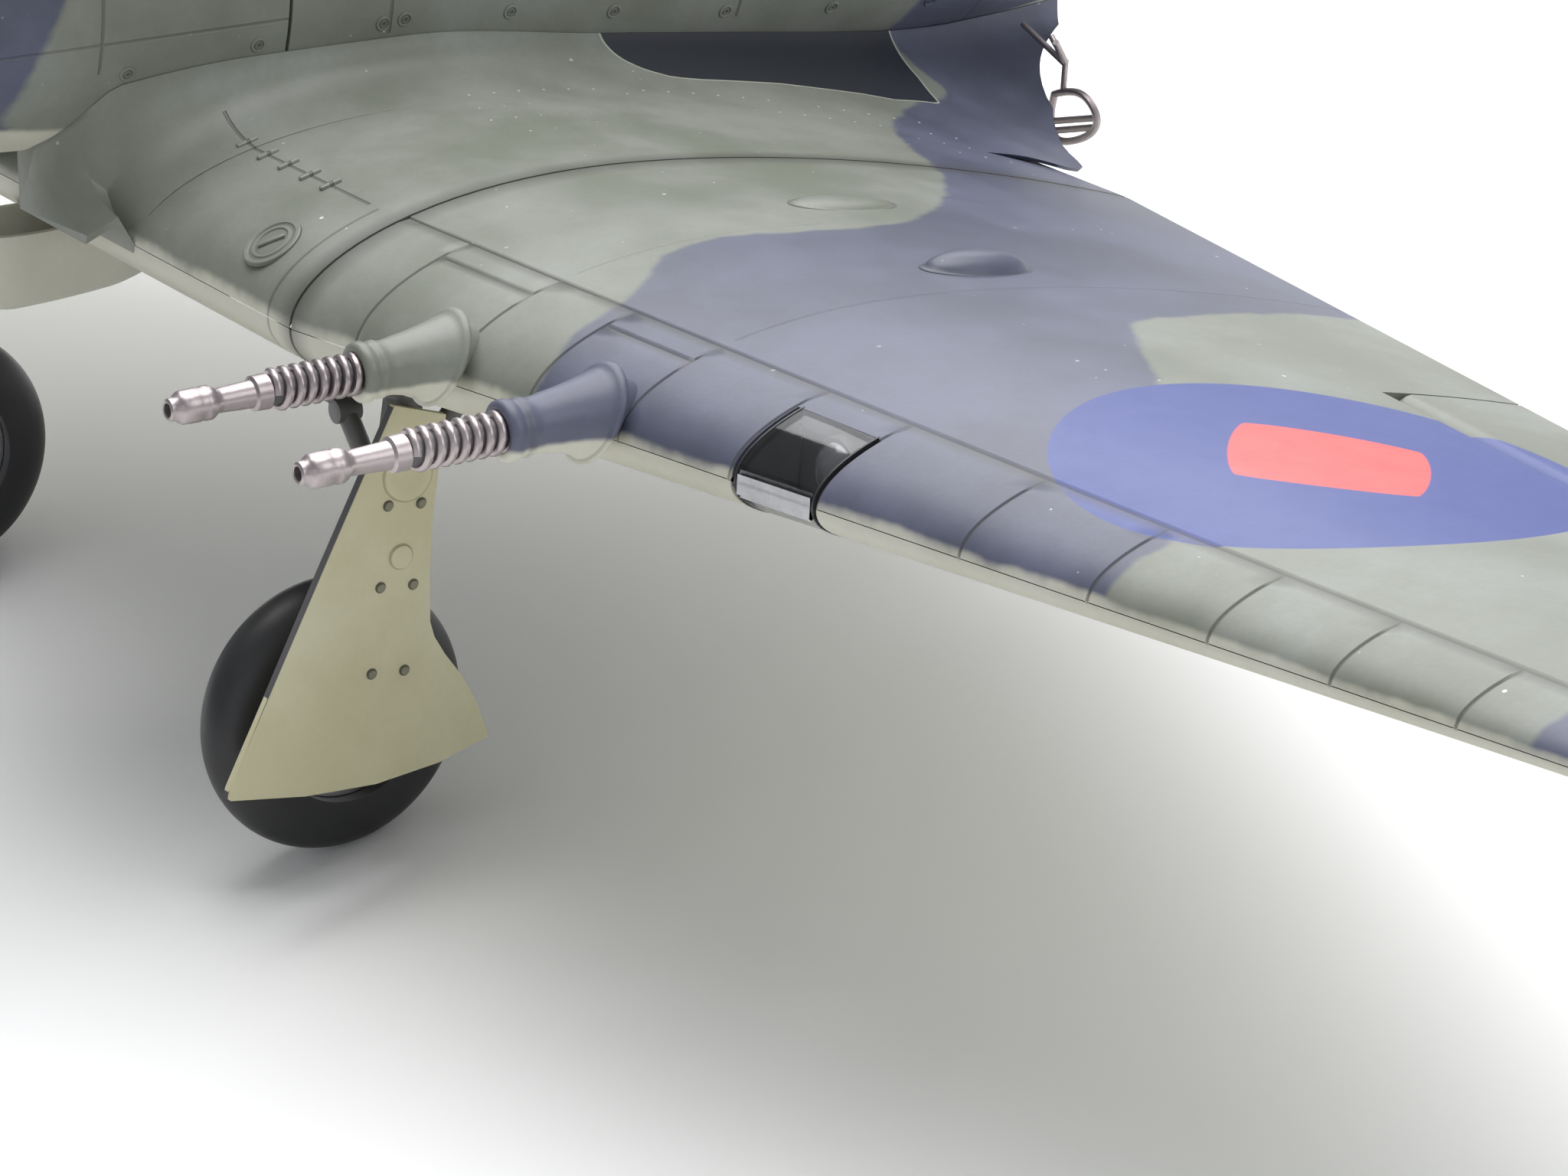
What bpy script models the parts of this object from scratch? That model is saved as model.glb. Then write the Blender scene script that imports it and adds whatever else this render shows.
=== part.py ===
"""Micro radio-controlled warbird, a low-wing single-seat fighter with a four-gun wing.

The model is drawn level in its own datum: Y runs aft from the tip of the spinner, X to port and
Z up from the propeller's axis. The empty called stance then tips it back onto its three wheels.
"""
import math

import bmesh
import bpy
from mathutils import Matrix, Vector

MM = 0.001

# Overall sizes
HALF_SPAN = 190.5 * MM
GAP = 0.3 * MM                      # clearance between pieces that touch or fit together
WALL = 0.8 * MM                     # moulded skins
STANCE_PITCH = math.radians(10.5)   # nose-up angle when it stands on its three wheels

# Wing: its root chord line, taper and section
ROOT_LEADING = 64.0 * MM
ROOT_CHORD = 76.4 * MM
WING_DROP = -21.9 * MM
JOINT_X = 41.8 * MM                 # where the outer panels meet the centre section
LEADING_SWEEP = math.radians(5.15)
TRAILING_SWEEP = math.radians(14.75)
DIHEDRAL = math.radians(3.35)
INCIDENCE = math.radians(2.0)
CAMBER, CAMBER_PLACE = 0.022, 0.38
ROOT_THICKNESS, TIP_THICKNESS = 0.19, 0.122
PANEL_MIDDLE, TIP_START = 103.0 * MM, 165.0 * MM
EDGE_THICKNESS = 0.7 * MM
CHORD_STEPS = (0.0, 0.005, 0.02, 0.05, 0.1, 0.18, 0.28, 0.4, 0.55, 0.7, 0.8, 0.9, 1.0)

# Moving surfaces of the wing
AILERON_INNER, AILERON_OUTER = 107.0 * MM, 163.0 * MM
AILERON_HINGE = 0.81
FLAP_INNER, FLAP_OUTER = 43.6 * MM, 104.6 * MM
FLAP_FRONT, FLAP_BACK = 0.80, 0.96
LIGHT_INNER, LIGHT_OUTER = 92.4 * MM, 100.4 * MM
LIGHT_DEPTH = 0.09

# Spar: a tube between the skins, at these parts of the chord at the joint and at its tip
SPAR_RADIUS = 1.5 * MM
SPAR_TIP = 150.0 * MM
SPAR_JOINT_PART, SPAR_TIP_PART = 0.5236, 0.4258

# Fuselage: (station, half width, top, bottom, roundness above, roundness below), all in mm
BODY = (
    (22.3, 11.0, 10.7, 11.3, 2.1, 2.1), (32, 12.4, 12.6, 13.6, 2.2, 2.2),
    (48, 13.6, 14.8, 16.0, 2.3, 2.3), (64, 14.2, 16.0, 17.2, 2.4, 2.4),
    (80, 14.7, 16.8, 18.0, 2.4, 2.4), (106, 15.3, 18.2, 19.2, 2.4, 2.4),
    (131, 15.0, 18.6, 19.6, 2.4, 2.4), (147, 14.2, 18.6, 19.6, 2.4, 2.4),
    (150, 13.7, 26.4, 19.5, 1.65, 2.4), (168, 12.9, 24.4, 18.2, 1.7, 2.4),
    (190, 11.4, 21.2, 15.3, 1.9, 2.3), (219, 8.4, 17.0, 10.5, 2.0, 2.2),
    (250, 5.4, 13.8, 6.0, 2.0, 2.0), (281, 2.6, 12.0, 1.5, 2.0, 2.0),
)
COWL_FRONT, FIREWALL, TAIL_POST = 22.3 * MM, 80.0 * MM, 281.0 * MM

# Cockpit, windscreen and canopy
COCKPIT_FRONT, COCKPIT_BACK = 104.0 * MM, 147.4 * MM
COCKPIT_HALF_WIDTH = 9.2 * MM
SILL = 16.1 * MM
CANOPY_HALF_WIDTH = 10.7 * MM
CANOPY_FRONT, CANOPY_BACK = 116.8 * MM, 146.6 * MM
GLAZING = 0.6 * MM
TUB_FLOOR = -6.0 * MM

# Hatch over the battery, hinged at its front edge
HATCH_FRONT, HATCH_BACK = 82.5 * MM, 99.0 * MM
HATCH_HALF_WIDTH = 9.0 * MM

# Propeller, shaft, gears and motor
SPINNER_LENGTH, SPINNER_RADIUS = 22.0 * MM, 10.9 * MM
PROP_PLANE, PROP_RADIUS, BLADES = 13.0 * MM, 53.5 * MM, 3
SHAFT_RADIUS = 0.75 * MM
SHAFT_START, SHAFT_END = 9.0 * MM, 62.0 * MM
GEAR_MODULE, GEAR_TEETH, PINION_TEETH = 0.4 * MM, 28, 12
GEAR_FRONT, GEAR_WIDTH = 30.0 * MM, 2.4 * MM
CENTRE_DISTANCE = GEAR_MODULE * (GEAR_TEETH + PINION_TEETH) / 2
BEARING_RADIUS, BEARING_LENGTH = 2.0 * MM, 2.4 * MM
MOTOR_RADIUS, MOTOR_FRONT, MOTOR_BACK = 4.0 * MM, 33.6 * MM, 53.0 * MM

# Guns: place across the wing, height over the leading edge, muzzle ahead of the root leading edge
GUNS = {"inner": (60.5, 2.45, 19.7), "outer": (78.0, 2.15, 19.5)}
GUN_FAIRING_REACH = 7.7 * MM
BARREL_RADIUS = 0.95 * MM
SPRING_RADIUS = 1.75 * MM

# Main gear
PIVOT = Vector((40.0, 75.0, -24.6)) * MM
WHEEL = Vector((35.4, 70.2, -54.6)) * MM
WHEEL_RADIUS, WHEEL_HALF_WIDTH = 10.9 * MM, 3.0 * MM
HUB_RADIUS = 6.0 * MM
AXLE_RADIUS = 0.9 * MM
RETRACT_AXIS = Vector((0.256, 0.932, -0.256)).normalized()
LEG_RADIUS, OLEO_RADIUS = 1.5 * MM, 1.05 * MM
TRUNNION_RADIUS, DRAG_STRUT_RADIUS = 1.2 * MM, 0.8 * MM
STAY_FOOT = Vector((37.2, 72.8, -34.6)) * MM
STAY_FORK = Vector((34.9, 72.3, -30.9)) * MM
STAY_HEADS = (Vector((32.2, 70.4, -27.9)) * MM, Vector((32.2, 74.0, -27.9)) * MM)
COVER_THICKNESS = 0.7 * MM
COVER_X = 42.4 * MM                 # outer face of the leg's cover plate

# Tail
TAILPLANE_HEIGHT, TAILPLANE_HALF_SPAN = 7.0 * MM, 52.0 * MM
ELEVATOR_HINGE = 278.5 * MM
RUDDER_HINGE, RUDDER_TOP, RUDDER_BOTTOM = 284.5 * MM, 42.0 * MM, -4.5 * MM
RUDDER_TAIL = (305.0 * MM, 28.0 * MM)   # station and height of the rudder's rearmost point
TAIL_WHEEL_RADIUS, TAIL_WHEEL_HALF_WIDTH = 4.6 * MM, 1.7 * MM
TAIL_LEG_Y = 255.0 * MM
TAIL_WHEEL_Y = 261.0 * MM

# Pushrods leave the fuselage's sides and end just short of their horns
PUSHROD_RADIUS = 0.45 * MM
PUSHRODS = {
    "elevator": (Vector((9.0, 150.0, -6.0)) * MM, Vector((5.6, 276.6, 2.4)) * MM),
    "rudder": (Vector((-9.0, 150.0, -8.0)) * MM, Vector((-5.2, 283.0, 0.0)) * MM),
}

COLOURS = {
    "grey_green": ((0.21, 0.23, 0.17), 0.55, 0.0), "sky_underside": ((0.45, 0.47, 0.38), 0.55, 0.0),
    "clear_glazing": ((0.85, 0.9, 0.9), 0.08, 0.0), "dark_rubber": ((0.03, 0.03, 0.03), 0.8, 0.0),
    "bare_steel": ((0.6, 0.55, 0.53), 0.35, 1.0), "black_plastic": ((0.02, 0.02, 0.02), 0.5, 0.0),
    "white_metal": ((0.7, 0.7, 0.68), 0.4, 1.0), "cell_foil": ((0.55, 0.57, 0.6), 0.4, 0.6),
    "circuit_board": ((0.05, 0.2, 0.08), 0.5, 0.0), "carbon": ((0.04, 0.04, 0.045), 0.35, 0.0),
    "cockpit_green": ((0.3, 0.36, 0.25), 0.6, 0.0), "nylon_white": ((0.75, 0.75, 0.72), 0.5, 0.0),
}


# --- Scene, materials and small tools -------------------------------------------------------

def clear_scene():
    for old in list(bpy.data.objects):
        bpy.data.objects.remove(old, do_unlink=True)


def new_collection(name):
    made = bpy.data.collections.new(name)
    bpy.context.scene.collection.children.link(made)
    return made


def paint(name):
    """The named finish as a Principled material, made the first time it is asked for."""
    if name in bpy.data.materials:
        return bpy.data.materials[name]
    colour, roughness, metallic = COLOURS[name]
    made = bpy.data.materials.new(name)
    made.use_nodes = True
    shader = made.node_tree.nodes["Principled BSDF"]
    shader.inputs["Base Color"].default_value = (*colour, 1.0)
    shader.inputs["Roughness"].default_value = roughness
    shader.inputs["Metallic"].default_value = metallic
    return made


def keep(piece, finish, origin=None):
    """Put a finished piece in the model, with its origin moved to its joint if it has one."""
    if origin is not None:
        shift = piece.matrix_basis.inverted() @ Vector(origin)
        piece.data.transform(Matrix.Translation(-shift))
        piece.location = Vector(origin)
    piece.data.materials.clear()
    piece.data.materials.append(paint(finish))
    PARTS.objects.link(piece)
    piece.parent = STANCE
    return piece


def as_cutter(piece):
    CUTTERS.objects.link(piece)
    piece.hide_render = True
    piece.display_type = "WIRE"
    piece.parent = STANCE
    return piece


def join(piece, tool, operation="DIFFERENCE"):
    """Cut a piece with a tool, or weld the tool onto it with operation UNION."""
    step = piece.modifiers.new(tool.name, "BOOLEAN")
    step.operation = operation
    step.solver = "EXACT"
    step.object = tool
    return piece


def from_bmesh(name, shape, smooth_angle=35):
    bmesh.ops.recalc_face_normals(shape, faces=shape.faces)
    data = bpy.data.meshes.new(name)
    shape.to_mesh(data)
    shape.free()
    data.shade_smooth()
    data.set_sharp_from_angle(angle=math.radians(smooth_angle))
    return bpy.data.objects.new(name, data)


def loft(name, rings):
    """A closed solid through rings that have the same number of points."""
    shape = bmesh.new()
    rows = [[shape.verts.new(point) for point in ring] for ring in rings]
    count = len(rows[0])
    for front, back in zip(rows, rows[1:]):
        for i in range(count):
            j = (i + 1) % count
            shape.faces.new((front[i], front[j], back[j], back[i]))
    shape.faces.new(rows[0])
    shape.faces.new(rows[-1][::-1])
    return from_bmesh(name, shape)


def sheet(name, rings, wall, round_trip=True):
    """An open surface through rings, thickened inwards by Solidify."""
    shape = bmesh.new()
    rows = [[shape.verts.new(point) for point in ring] for ring in rings]
    count = len(rows[0])
    for front, back in zip(rows, rows[1:]):
        for i in range(count if round_trip else count - 1):
            j = (i + 1) % count
            shape.faces.new((front[i], front[j], back[j], back[i]))
    made = from_bmesh(name, shape)
    thick = made.modifiers.new("wall", "SOLIDIFY")
    thick.thickness = wall
    thick.offset = -1.0
    return made


def prism(name, outline, low, high, axis="Z"):
    """A flat outline extruded along one axis between two heights."""
    shape = bmesh.new()
    place = {"Z": lambda a, b, h: (a, b, h), "X": lambda a, b, h: (h, a, b),
             "Y": lambda a, b, h: (a, h, b)}[axis]
    face = shape.faces.new([shape.verts.new(place(a, b, low)) for a, b in outline])
    raised = bmesh.ops.extrude_face_region(shape, geom=[face])
    lift = Vector(place(0.0, 0.0, high - low))
    moved = [item for item in raised["geom"] if isinstance(item, bmesh.types.BMVert)]
    bmesh.ops.translate(shape, verts=moved, vec=lift)
    return from_bmesh(name, shape)


def box(name, low, high):
    shape = bmesh.new()
    size = [b - a for a, b in zip(low, high)]
    middle = [(a + b) / 2 for a, b in zip(low, high)]
    bmesh.ops.create_cube(shape, size=1.0)
    bmesh.ops.scale(shape, verts=shape.verts, vec=size)
    bmesh.ops.translate(shape, verts=shape.verts, vec=middle)
    return from_bmesh(name, shape)


def rod(name, start, end, radius, end_radius=None, sides=16):
    """A round bar, or a cone, between two points."""
    start, end = Vector(start), Vector(end)
    shape = bmesh.new()
    bmesh.ops.create_cone(shape, cap_ends=True, segments=sides, radius1=radius,
                          radius2=radius if end_radius is None else end_radius,
                          depth=(end - start).length)
    turn = (end - start).to_track_quat("Z", "Y").to_matrix().to_4x4()
    bmesh.ops.transform(shape, matrix=Matrix.Translation((start + end) / 2) @ turn,
                        verts=shape.verts)
    return from_bmesh(name, shape)


def turned(name, profile, centre, sides=24, axis="Y", closed=False):
    """Turn a profile of (distance along the axis, radius) about an axis through centre."""
    data = bpy.data.meshes.new(name)
    points = [(radius, 0.0, -along) for along, radius in profile]
    edges = [(i, i + 1) for i in range(len(points) - 1)]
    if closed:
        edges.append((len(points) - 1, 0))
    data.from_pydata(points, edges, [])
    made = bpy.data.objects.new(name, data)
    made.location = centre
    made.rotation_euler = {"Y": (math.pi / 2, 0, 0), "X": (0, -math.pi / 2, 0)}[axis]
    spin = made.modifiers.new("turn", "SCREW")
    spin.steps = spin.render_steps = sides
    spin.use_merge_vertices = True
    spin.merge_threshold = 0.00001
    spin.use_smooth_shade = True
    return made


def eased(rows, at):
    """Values of a table at one station, by a smooth curve through its rows."""
    last = len(rows) - 2
    k = max(0, min(last, sum(1 for row in rows[1:] if row[0] <= at)))
    left, right = rows[k], rows[k + 1]
    width = right[0] - left[0]
    t = max(0.0, min(1.0, (at - left[0]) / width))
    values = []
    for column in range(1, len(left)):
        slope = (right[column] - left[column]) / width
        slopes = [slope, slope]
        if k > 0:
            before = (left[column] - rows[k - 1][column]) / (left[0] - rows[k - 1][0])
            slopes[0] = 0.0 if before * slope <= 0 else 2 * before * slope / (before + slope)
        if k < last:
            after = (rows[k + 2][column] - right[column]) / (rows[k + 2][0] - right[0])
            slopes[1] = 0.0 if after * slope <= 0 else 2 * after * slope / (after + slope)
        values.append((2 * t**3 - 3 * t**2 + 1) * left[column]
                      + (t**3 - 2 * t**2 + t) * width * slopes[0]
                      + (3 * t**2 - 2 * t**3) * right[column]
                      + (t**3 - t**2) * width * slopes[1])
    return values


# --- Wing shape ------------------------------------------------------------------------------

def wing_line(x):
    """Leading edge, chord and height of the wing's chord line at a distance from the middle."""
    out = max(0.0, abs(x) - JOINT_X)
    leading = ROOT_LEADING + out * math.tan(LEADING_SWEEP)
    chord = ROOT_LEADING + ROOT_CHORD - out * math.tan(TRAILING_SWEEP) - leading
    past = max(0.0, (abs(x) - TIP_START) / (HALF_SPAN - TIP_START))
    rounding = math.sqrt(max(0.0, 1.0 - past**2))
    leading += 0.45 * chord * (1.0 - rounding)
    return leading, chord * rounding, WING_DROP + out * math.tan(DIHEDRAL)


def half_height(x, c):
    """Half of the wing's thickness at a part c of its chord."""
    chord = wing_line(x)[1]
    out = min(1.0, max(0.0, (abs(x) - JOINT_X) / (HALF_SPAN - JOINT_X)))
    ratio = ROOT_THICKNESS + (TIP_THICKNESS - ROOT_THICKNESS) * out
    shape = 0.2969 * math.sqrt(c) - 0.126 * c - 0.3516 * c**2 + 0.2843 * c**3 - 0.1036 * c**4
    return 5 * ratio * chord * shape + EDGE_THICKNESS / 2 * c + GAP / 2


def wing_point(x, c, lift):
    """A point at part c of the chord, lifted off the mean line, turned by the incidence."""
    leading, chord, height = wing_line(x)
    along = c * chord - 0.25 * chord
    if c < CAMBER_PLACE:
        mean = CAMBER / CAMBER_PLACE**2 * (2 * CAMBER_PLACE * c - c * c)
    else:
        mean = CAMBER / (1 - CAMBER_PLACE)**2 * (1 - 2 * CAMBER_PLACE + 2 * CAMBER_PLACE * c - c * c)
    up = mean * chord + lift
    turn_c, turn_s = math.cos(INCIDENCE), math.sin(INCIDENCE)
    return Vector((x, leading + 0.25 * chord + along * turn_c + up * turn_s,
                   height - along * turn_s + up * turn_c))


def wing_surface(x, c, side, proud=0.0):
    return wing_point(x, c, side * (half_height(x, c) + proud))


def wing_offset(x, c, side, grow):
    """A point at a distance grow outside the wing's surface, square to it."""
    step = 0.0005
    ahead = wing_surface(x, max(0.0, c - step), side)
    behind = wing_surface(x, min(1.0, c + step), side)
    along = (behind - ahead).normalized()
    square = Vector((0.0, -along.z, along.y)) * side
    return wing_surface(x, c, side) + square * grow


def wing_solid(name, stations, grow):
    """The wing's whole section as one solid, grown a little, for cutting what meets it."""
    rings = []
    for x in stations:
        over = [wing_offset(x, c, 1, grow) for c in CHORD_STEPS]
        under = [wing_offset(x, c, -1, grow) for c in CHORD_STEPS]
        back = Vector((0.0, grow, 0.0))
        rings.append(over + [over[-1] + back, under[-1] + back] + under[::-1])
    return loft(name, rings)


def inner_height(x, c):
    """Distance from the wing's mean line to the inner face of its skin."""
    rise = half_height(x, c) - GAP / 2
    return GAP / 2 + max(0.0, min(rise - WALL, 0.6 * rise))


def skin_ring(x, side, start=0.0, stop=1.0):
    """One section of an upper (side 1) or lower (side -1) wing skin, from start to stop."""
    chord = wing_line(x)[1]
    steps = [c for c in CHORD_STEPS if start < c < stop]
    outer = [start] + steps + [stop]
    nose = 1.3 * WALL / chord if start == 0.0 else 0.0
    tail = 0.02 if stop == 1.0 else 0.0
    inner = [start + nose + (c - start) * (stop - start - nose - tail) / (stop - start)
             for c in outer]
    skin = [wing_surface(x, c, side) for c in outer]
    back = [wing_point(x, c, side * inner_height(x, c)) for c in inner]
    return skin + back[::-1]


def wing_skin(name, stations, side, start=0.0, stop=1.0):
    return loft(name, [skin_ring(x, side, start, stop) for x in stations])


def plan_strip(name, inner, outer, front, back, side, clear=lambda x: 0.0):
    """An upright cutter over part of the wing's plan, between two parts of the chord."""
    def edge(x, c, ahead=0.0):
        leading, chord, _ = wing_line(x)
        return side * x, leading + c * chord - ahead
    outline = [edge(inner, front, clear(inner)), edge(outer, front, clear(outer)),
               edge(outer, back), edge(inner, back)]
    return prism(name, outline, -60 * MM, 30 * MM)


# --- Wing pieces -------------------------------------------------------------------------------

def wheel_bay(side, name):
    """The opening in the lower skins that one wheel and its leg fold into."""
    outline = [(0.3, 77.0), (6.0, 72.0), (30.0, 66.5), (42.0, 69.0), (44.4, 72.0),
               (44.4, 88.0), (40.0, 92.0), (22.0, 100.5), (6.0, 100.5), (0.3, 97.0)]
    outline = [(side * x * MM, y * MM) for x, y in outline]
    return as_cutter(prism(f"wheel_bay_{name}", outline, -40 * MM, -17 * MM))


def centre_section():
    edge = JOINT_X - GAP / 2
    stations = (-edge, -28 * MM, 0.0, 28 * MM, edge)
    keep(wing_skin("centre_upper_skin", stations, 1), "grey_green")
    lower = keep(wing_skin("centre_lower_skin", stations, -1), "sky_underside")
    join(lower, WHEEL_BAYS[1])
    join(lower, WHEEL_BAYS[-1])


def outer_panels(side, name):
    stations = [JOINT_X + GAP / 2, PANEL_MIDDLE, TIP_START]
    stations += [TIP_START + share * (HALF_SPAN - TIP_START) for share in (0.4, 0.7, 0.88, 0.97)]
    stations = [side * x for x in stations]
    aileron = as_cutter(plan_strip(f"aileron_bay_{name}", AILERON_INNER, AILERON_OUTER,
                                   AILERON_HINGE, 1.2, side,
                                   clear=lambda x: half_height(x, AILERON_HINGE) + GAP))
    light = as_cutter(plan_strip(f"light_bay_{name}", LIGHT_INNER - GAP, LIGHT_OUTER + GAP,
                                 -0.2, LIGHT_DEPTH, side))
    flap = as_cutter(plan_strip(f"flap_bay_{name}", FLAP_INNER - GAP, FLAP_OUTER + GAP,
                                FLAP_FRONT - 0.006, FLAP_BACK + 0.006, side))
    upper = keep(wing_skin(f"outer_upper_skin_{name}", stations, 1), "grey_green")
    lower = keep(wing_skin(f"outer_lower_skin_{name}", stations, -1), "sky_underside")
    for skin in (upper, lower):
        join(skin, aileron)
        join(skin, light)
    join(lower, flap)
    join(lower, WHEEL_BAYS[side])


def aileron(side, name):
    """A solid surface with a round nose, which turns about the middle of that nose."""
    rings = []
    for x in (AILERON_INNER + GAP, AILERON_OUTER - GAP):
        radius = half_height(x, AILERON_HINGE)
        axis = wing_point(side * x, AILERON_HINGE, 0.0)
        nose = [axis + Vector((0, -radius * math.cos(a), radius * math.sin(a)))
                for a in (math.radians(d) for d in (-75, -45, -15, 15, 45, 75))]
        upper = [wing_surface(side * x, c, 1) for c in (AILERON_HINGE, 0.9, 1.0)]
        lower = [wing_surface(side * x, c, -1) for c in (1.0, 0.9, AILERON_HINGE)]
        rings.append(nose + upper + lower)
    middle = (AILERON_INNER + AILERON_OUTER) / 2
    ends = [wing_point(side * x, AILERON_HINGE, 0.0) for x in (AILERON_INNER, AILERON_OUTER)]
    share = (middle - AILERON_INNER) / (AILERON_OUTER - AILERON_INNER)
    keep(loft(f"aileron_{name}", rings), "grey_green", origin=ends[0].lerp(ends[1], share))


def flap(side, name):
    """A split flap: part of the lower skin, hinged along its front edge."""
    stations = (side * FLAP_INNER, side * FLAP_OUTER)
    hinge = [wing_surface(x, FLAP_FRONT, -1) for x in stations]
    made = wing_skin(f"flap_{name}", stations, -1, FLAP_FRONT, FLAP_BACK)
    keep(made, "sky_underside", origin=(hinge[0] + hinge[1]) / 2)


def light_window(side, name):
    """The clear cover of the landing light, which completes the wing's leading edge."""
    rings = []
    for x in (LIGHT_INNER, LIGHT_OUTER):
        chord = wing_line(x)[1]
        steps = (LIGHT_DEPTH - GAP / chord, 0.05, 0.02, 0.005, 0.0)
        over = [wing_surface(side * x, c, 1) for c in steps]
        under = [wing_surface(side * x, c, -1) for c in steps[-2::-1]]
        inset = GLAZING / chord
        inner_steps = [LIGHT_DEPTH - GAP / chord, 0.05, 0.02 + inset, 0.005 + inset, inset]
        over_in = [wing_surface(side * x, c, 1, -GLAZING) for c in inner_steps]
        over_in[-1] = wing_point(side * x, inset, 0.0)
        under_in = [wing_surface(side * x, c, -1, -GLAZING) for c in inner_steps[-2::-1]]
        rings.append(over + under + (over_in + under_in)[::-1])
    keep(loft(f"landing_light_window_{name}", rings), "clear_glazing")


def main_spar():
    """A carbon tube behind the wheel bays, as far out as the wing is thick enough for it."""
    tip = SPAR_TIP
    while inner_height(tip, SPAR_TIP_PART) < SPAR_RADIUS + 0.9 * GAP:
        tip -= 1.0 * MM
    route = [(-tip, SPAR_TIP_PART), (-JOINT_X, SPAR_JOINT_PART),
             (JOINT_X, SPAR_JOINT_PART), (tip, SPAR_TIP_PART)]
    data = bpy.data.curves.new("main_spar", "CURVE")
    data.dimensions = "3D"
    line = data.splines.new("POLY")
    line.points.add(len(route) - 1)
    for point, (x, part) in zip(line.points, route):
        point.co = (*wing_point(x, part, 0.0), 1.0)
    data.bevel_depth = SPAR_RADIUS
    data.bevel_resolution = 2
    data.use_fill_caps = True
    keep(bpy.data.objects.new("main_spar", data), "carbon")


def gun(side, name, label):
    """A dummy barrel with its recoil spring, and the fairing that carries it into the wing."""
    across, height, muzzle = (value * MM for value in GUNS[label])
    leading, _, chord_z = wing_line(across)
    centre = Vector((side * across, 0.0, chord_z + height))
    mouth = leading - GUN_FAIRING_REACH
    tip = ROOT_LEADING - muzzle
    spring_front = tip + 0.52 * (mouth - tip)
    rings = 6
    pitch = (mouth + 1.0 * MM - spring_front) / rings
    profile = [(tip + 2.5 * MM, 0.0), (tip + 2.5 * MM, 0.6 * MM), (tip, 0.6 * MM),
               (tip, 1.2 * MM), (tip + 1.6 * MM, 1.2 * MM), (tip + 1.9 * MM, BARREL_RADIUS),
               (spring_front - 0.8 * MM, BARREL_RADIUS), (spring_front, 1.4 * MM)]
    for k in range(rings):
        start = spring_front + k * pitch
        profile += [(start + 0.3 * pitch, SPRING_RADIUS), (start + 0.9 * pitch, 1.4 * MM)]
    back = leading - 2.0 * MM
    profile += [(mouth + 1.0 * MM, 1.4 * MM), (back, 1.4 * MM), (back, 0.0)]
    keep(turned(f"gun_barrel_{label}_{name}", profile, centre, sides=10), "bare_steel")
    bore = SPRING_RADIUS + GAP
    shell = [(mouth, bore + 0.1 * MM), (mouth, bore + 0.5 * MM), (mouth + 2.5 * MM, bore + 0.95 * MM),
             (leading - 2.0 * MM, bore + 1.5 * MM), (leading + 1.5 * MM, bore + 1.7 * MM),
             (leading + 4.5 * MM, bore + 0.8 * MM), (leading + 6.5 * MM, 0.0),
             (leading - 1.2 * MM, 0.0), (leading - 1.2 * MM, bore)]
    fairing = keep(turned(f"gun_fairing_{label}_{name}", shell, centre, sides=16, closed=True),
                   "grey_green")
    join(fairing, WING_CUTTER)


# --- Fuselage ----------------------------------------------------------------------------------

def body_ring(y, grow=0.0, count=24):
    """One section of the fuselage, with its own roundness above and below."""
    width, top, bottom, above, below = eased(BODY, y / MM)
    ring = []
    for i in range(count):
        angle = 2 * math.pi * i / count
        across, up = math.cos(angle), math.sin(angle)
        power = 2 / (above if up >= 0 else below)
        reach = top if up >= 0 else bottom
        ring.append((math.copysign(abs(across)**power, across) * (width * MM + grow), y,
                     math.copysign(abs(up)**power, up) * (reach * MM + grow)))
    return ring


def body_width_at(y, z):
    """Half width of the fuselage's outer surface at a station and height."""
    width, top, bottom, above, below = eased(BODY, y / MM)
    reach, power = (top, above) if z >= 0 else (bottom, below)
    share = min(1.0, abs(z) / (reach * MM))
    return width * MM * (1 - share**power)**(1 / power)


def fuselage_tools():
    stations = [22, 27, 32, 40, 48, 64, 80, 93, 106, 131, 147, 148.5, 150, 159, 168, 179, 190, 204,
                219, 235, 250, 282]
    grown = loft("fuselage_cutter", [body_ring(y * MM, GAP) for y in stations])
    return as_cutter(grown)


def engine_cowl():
    stations = [22.3, 27, 32, 40, 48, 64, 79.7]
    made = keep(sheet("engine_cowl", [body_ring(y * MM) for y in stations], WALL), "grey_green")
    join(made, WING_CUTTER)


def fuselage_shell():
    stations = [80, 93, 106, 131, 147, 148.5, 150, 159, 168, 179, 190, 204, 219, 235, 250, 281]
    made = keep(sheet("fuselage_shell", [body_ring(y * MM) for y in stations], WALL),
                "grey_green")
    join(made, WING_CUTTER)
    join(made, as_cutter(box("cockpit_opening",
                             (-COCKPIT_HALF_WIDTH, COCKPIT_FRONT, 4 * MM),
                             (COCKPIT_HALF_WIDTH, COCKPIT_BACK, 40 * MM))))
    join(made, as_cutter(box("hatch_opening", (-HATCH_HALF_WIDTH, HATCH_FRONT, 5 * MM),
                             (HATCH_HALF_WIDTH, HATCH_BACK, 30 * MM))))
    join(made, TAILPLANE_CUTTER)
    join(made, as_cutter(rod("elevator_rod_hole", (-12 * MM, ELEVATOR_HINGE, TAILPLANE_HEIGHT),
                             (12 * MM, ELEVATOR_HINGE, TAILPLANE_HEIGHT), 1.3 * MM)))
    for label, (start, end) in PUSHRODS.items():
        span = (end - start).normalized()
        join(made, as_cutter(rod(f"{label}_exit", start + span * 40 * MM, end + span * 4 * MM,
                                 1.3 * MM, sides=12)))
    join(made, as_cutter(rod("tail_leg_hole", (0, TAIL_LEG_Y, -20 * MM), (0, TAIL_LEG_Y, 1 * MM),
                             1.6 * MM)))


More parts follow.
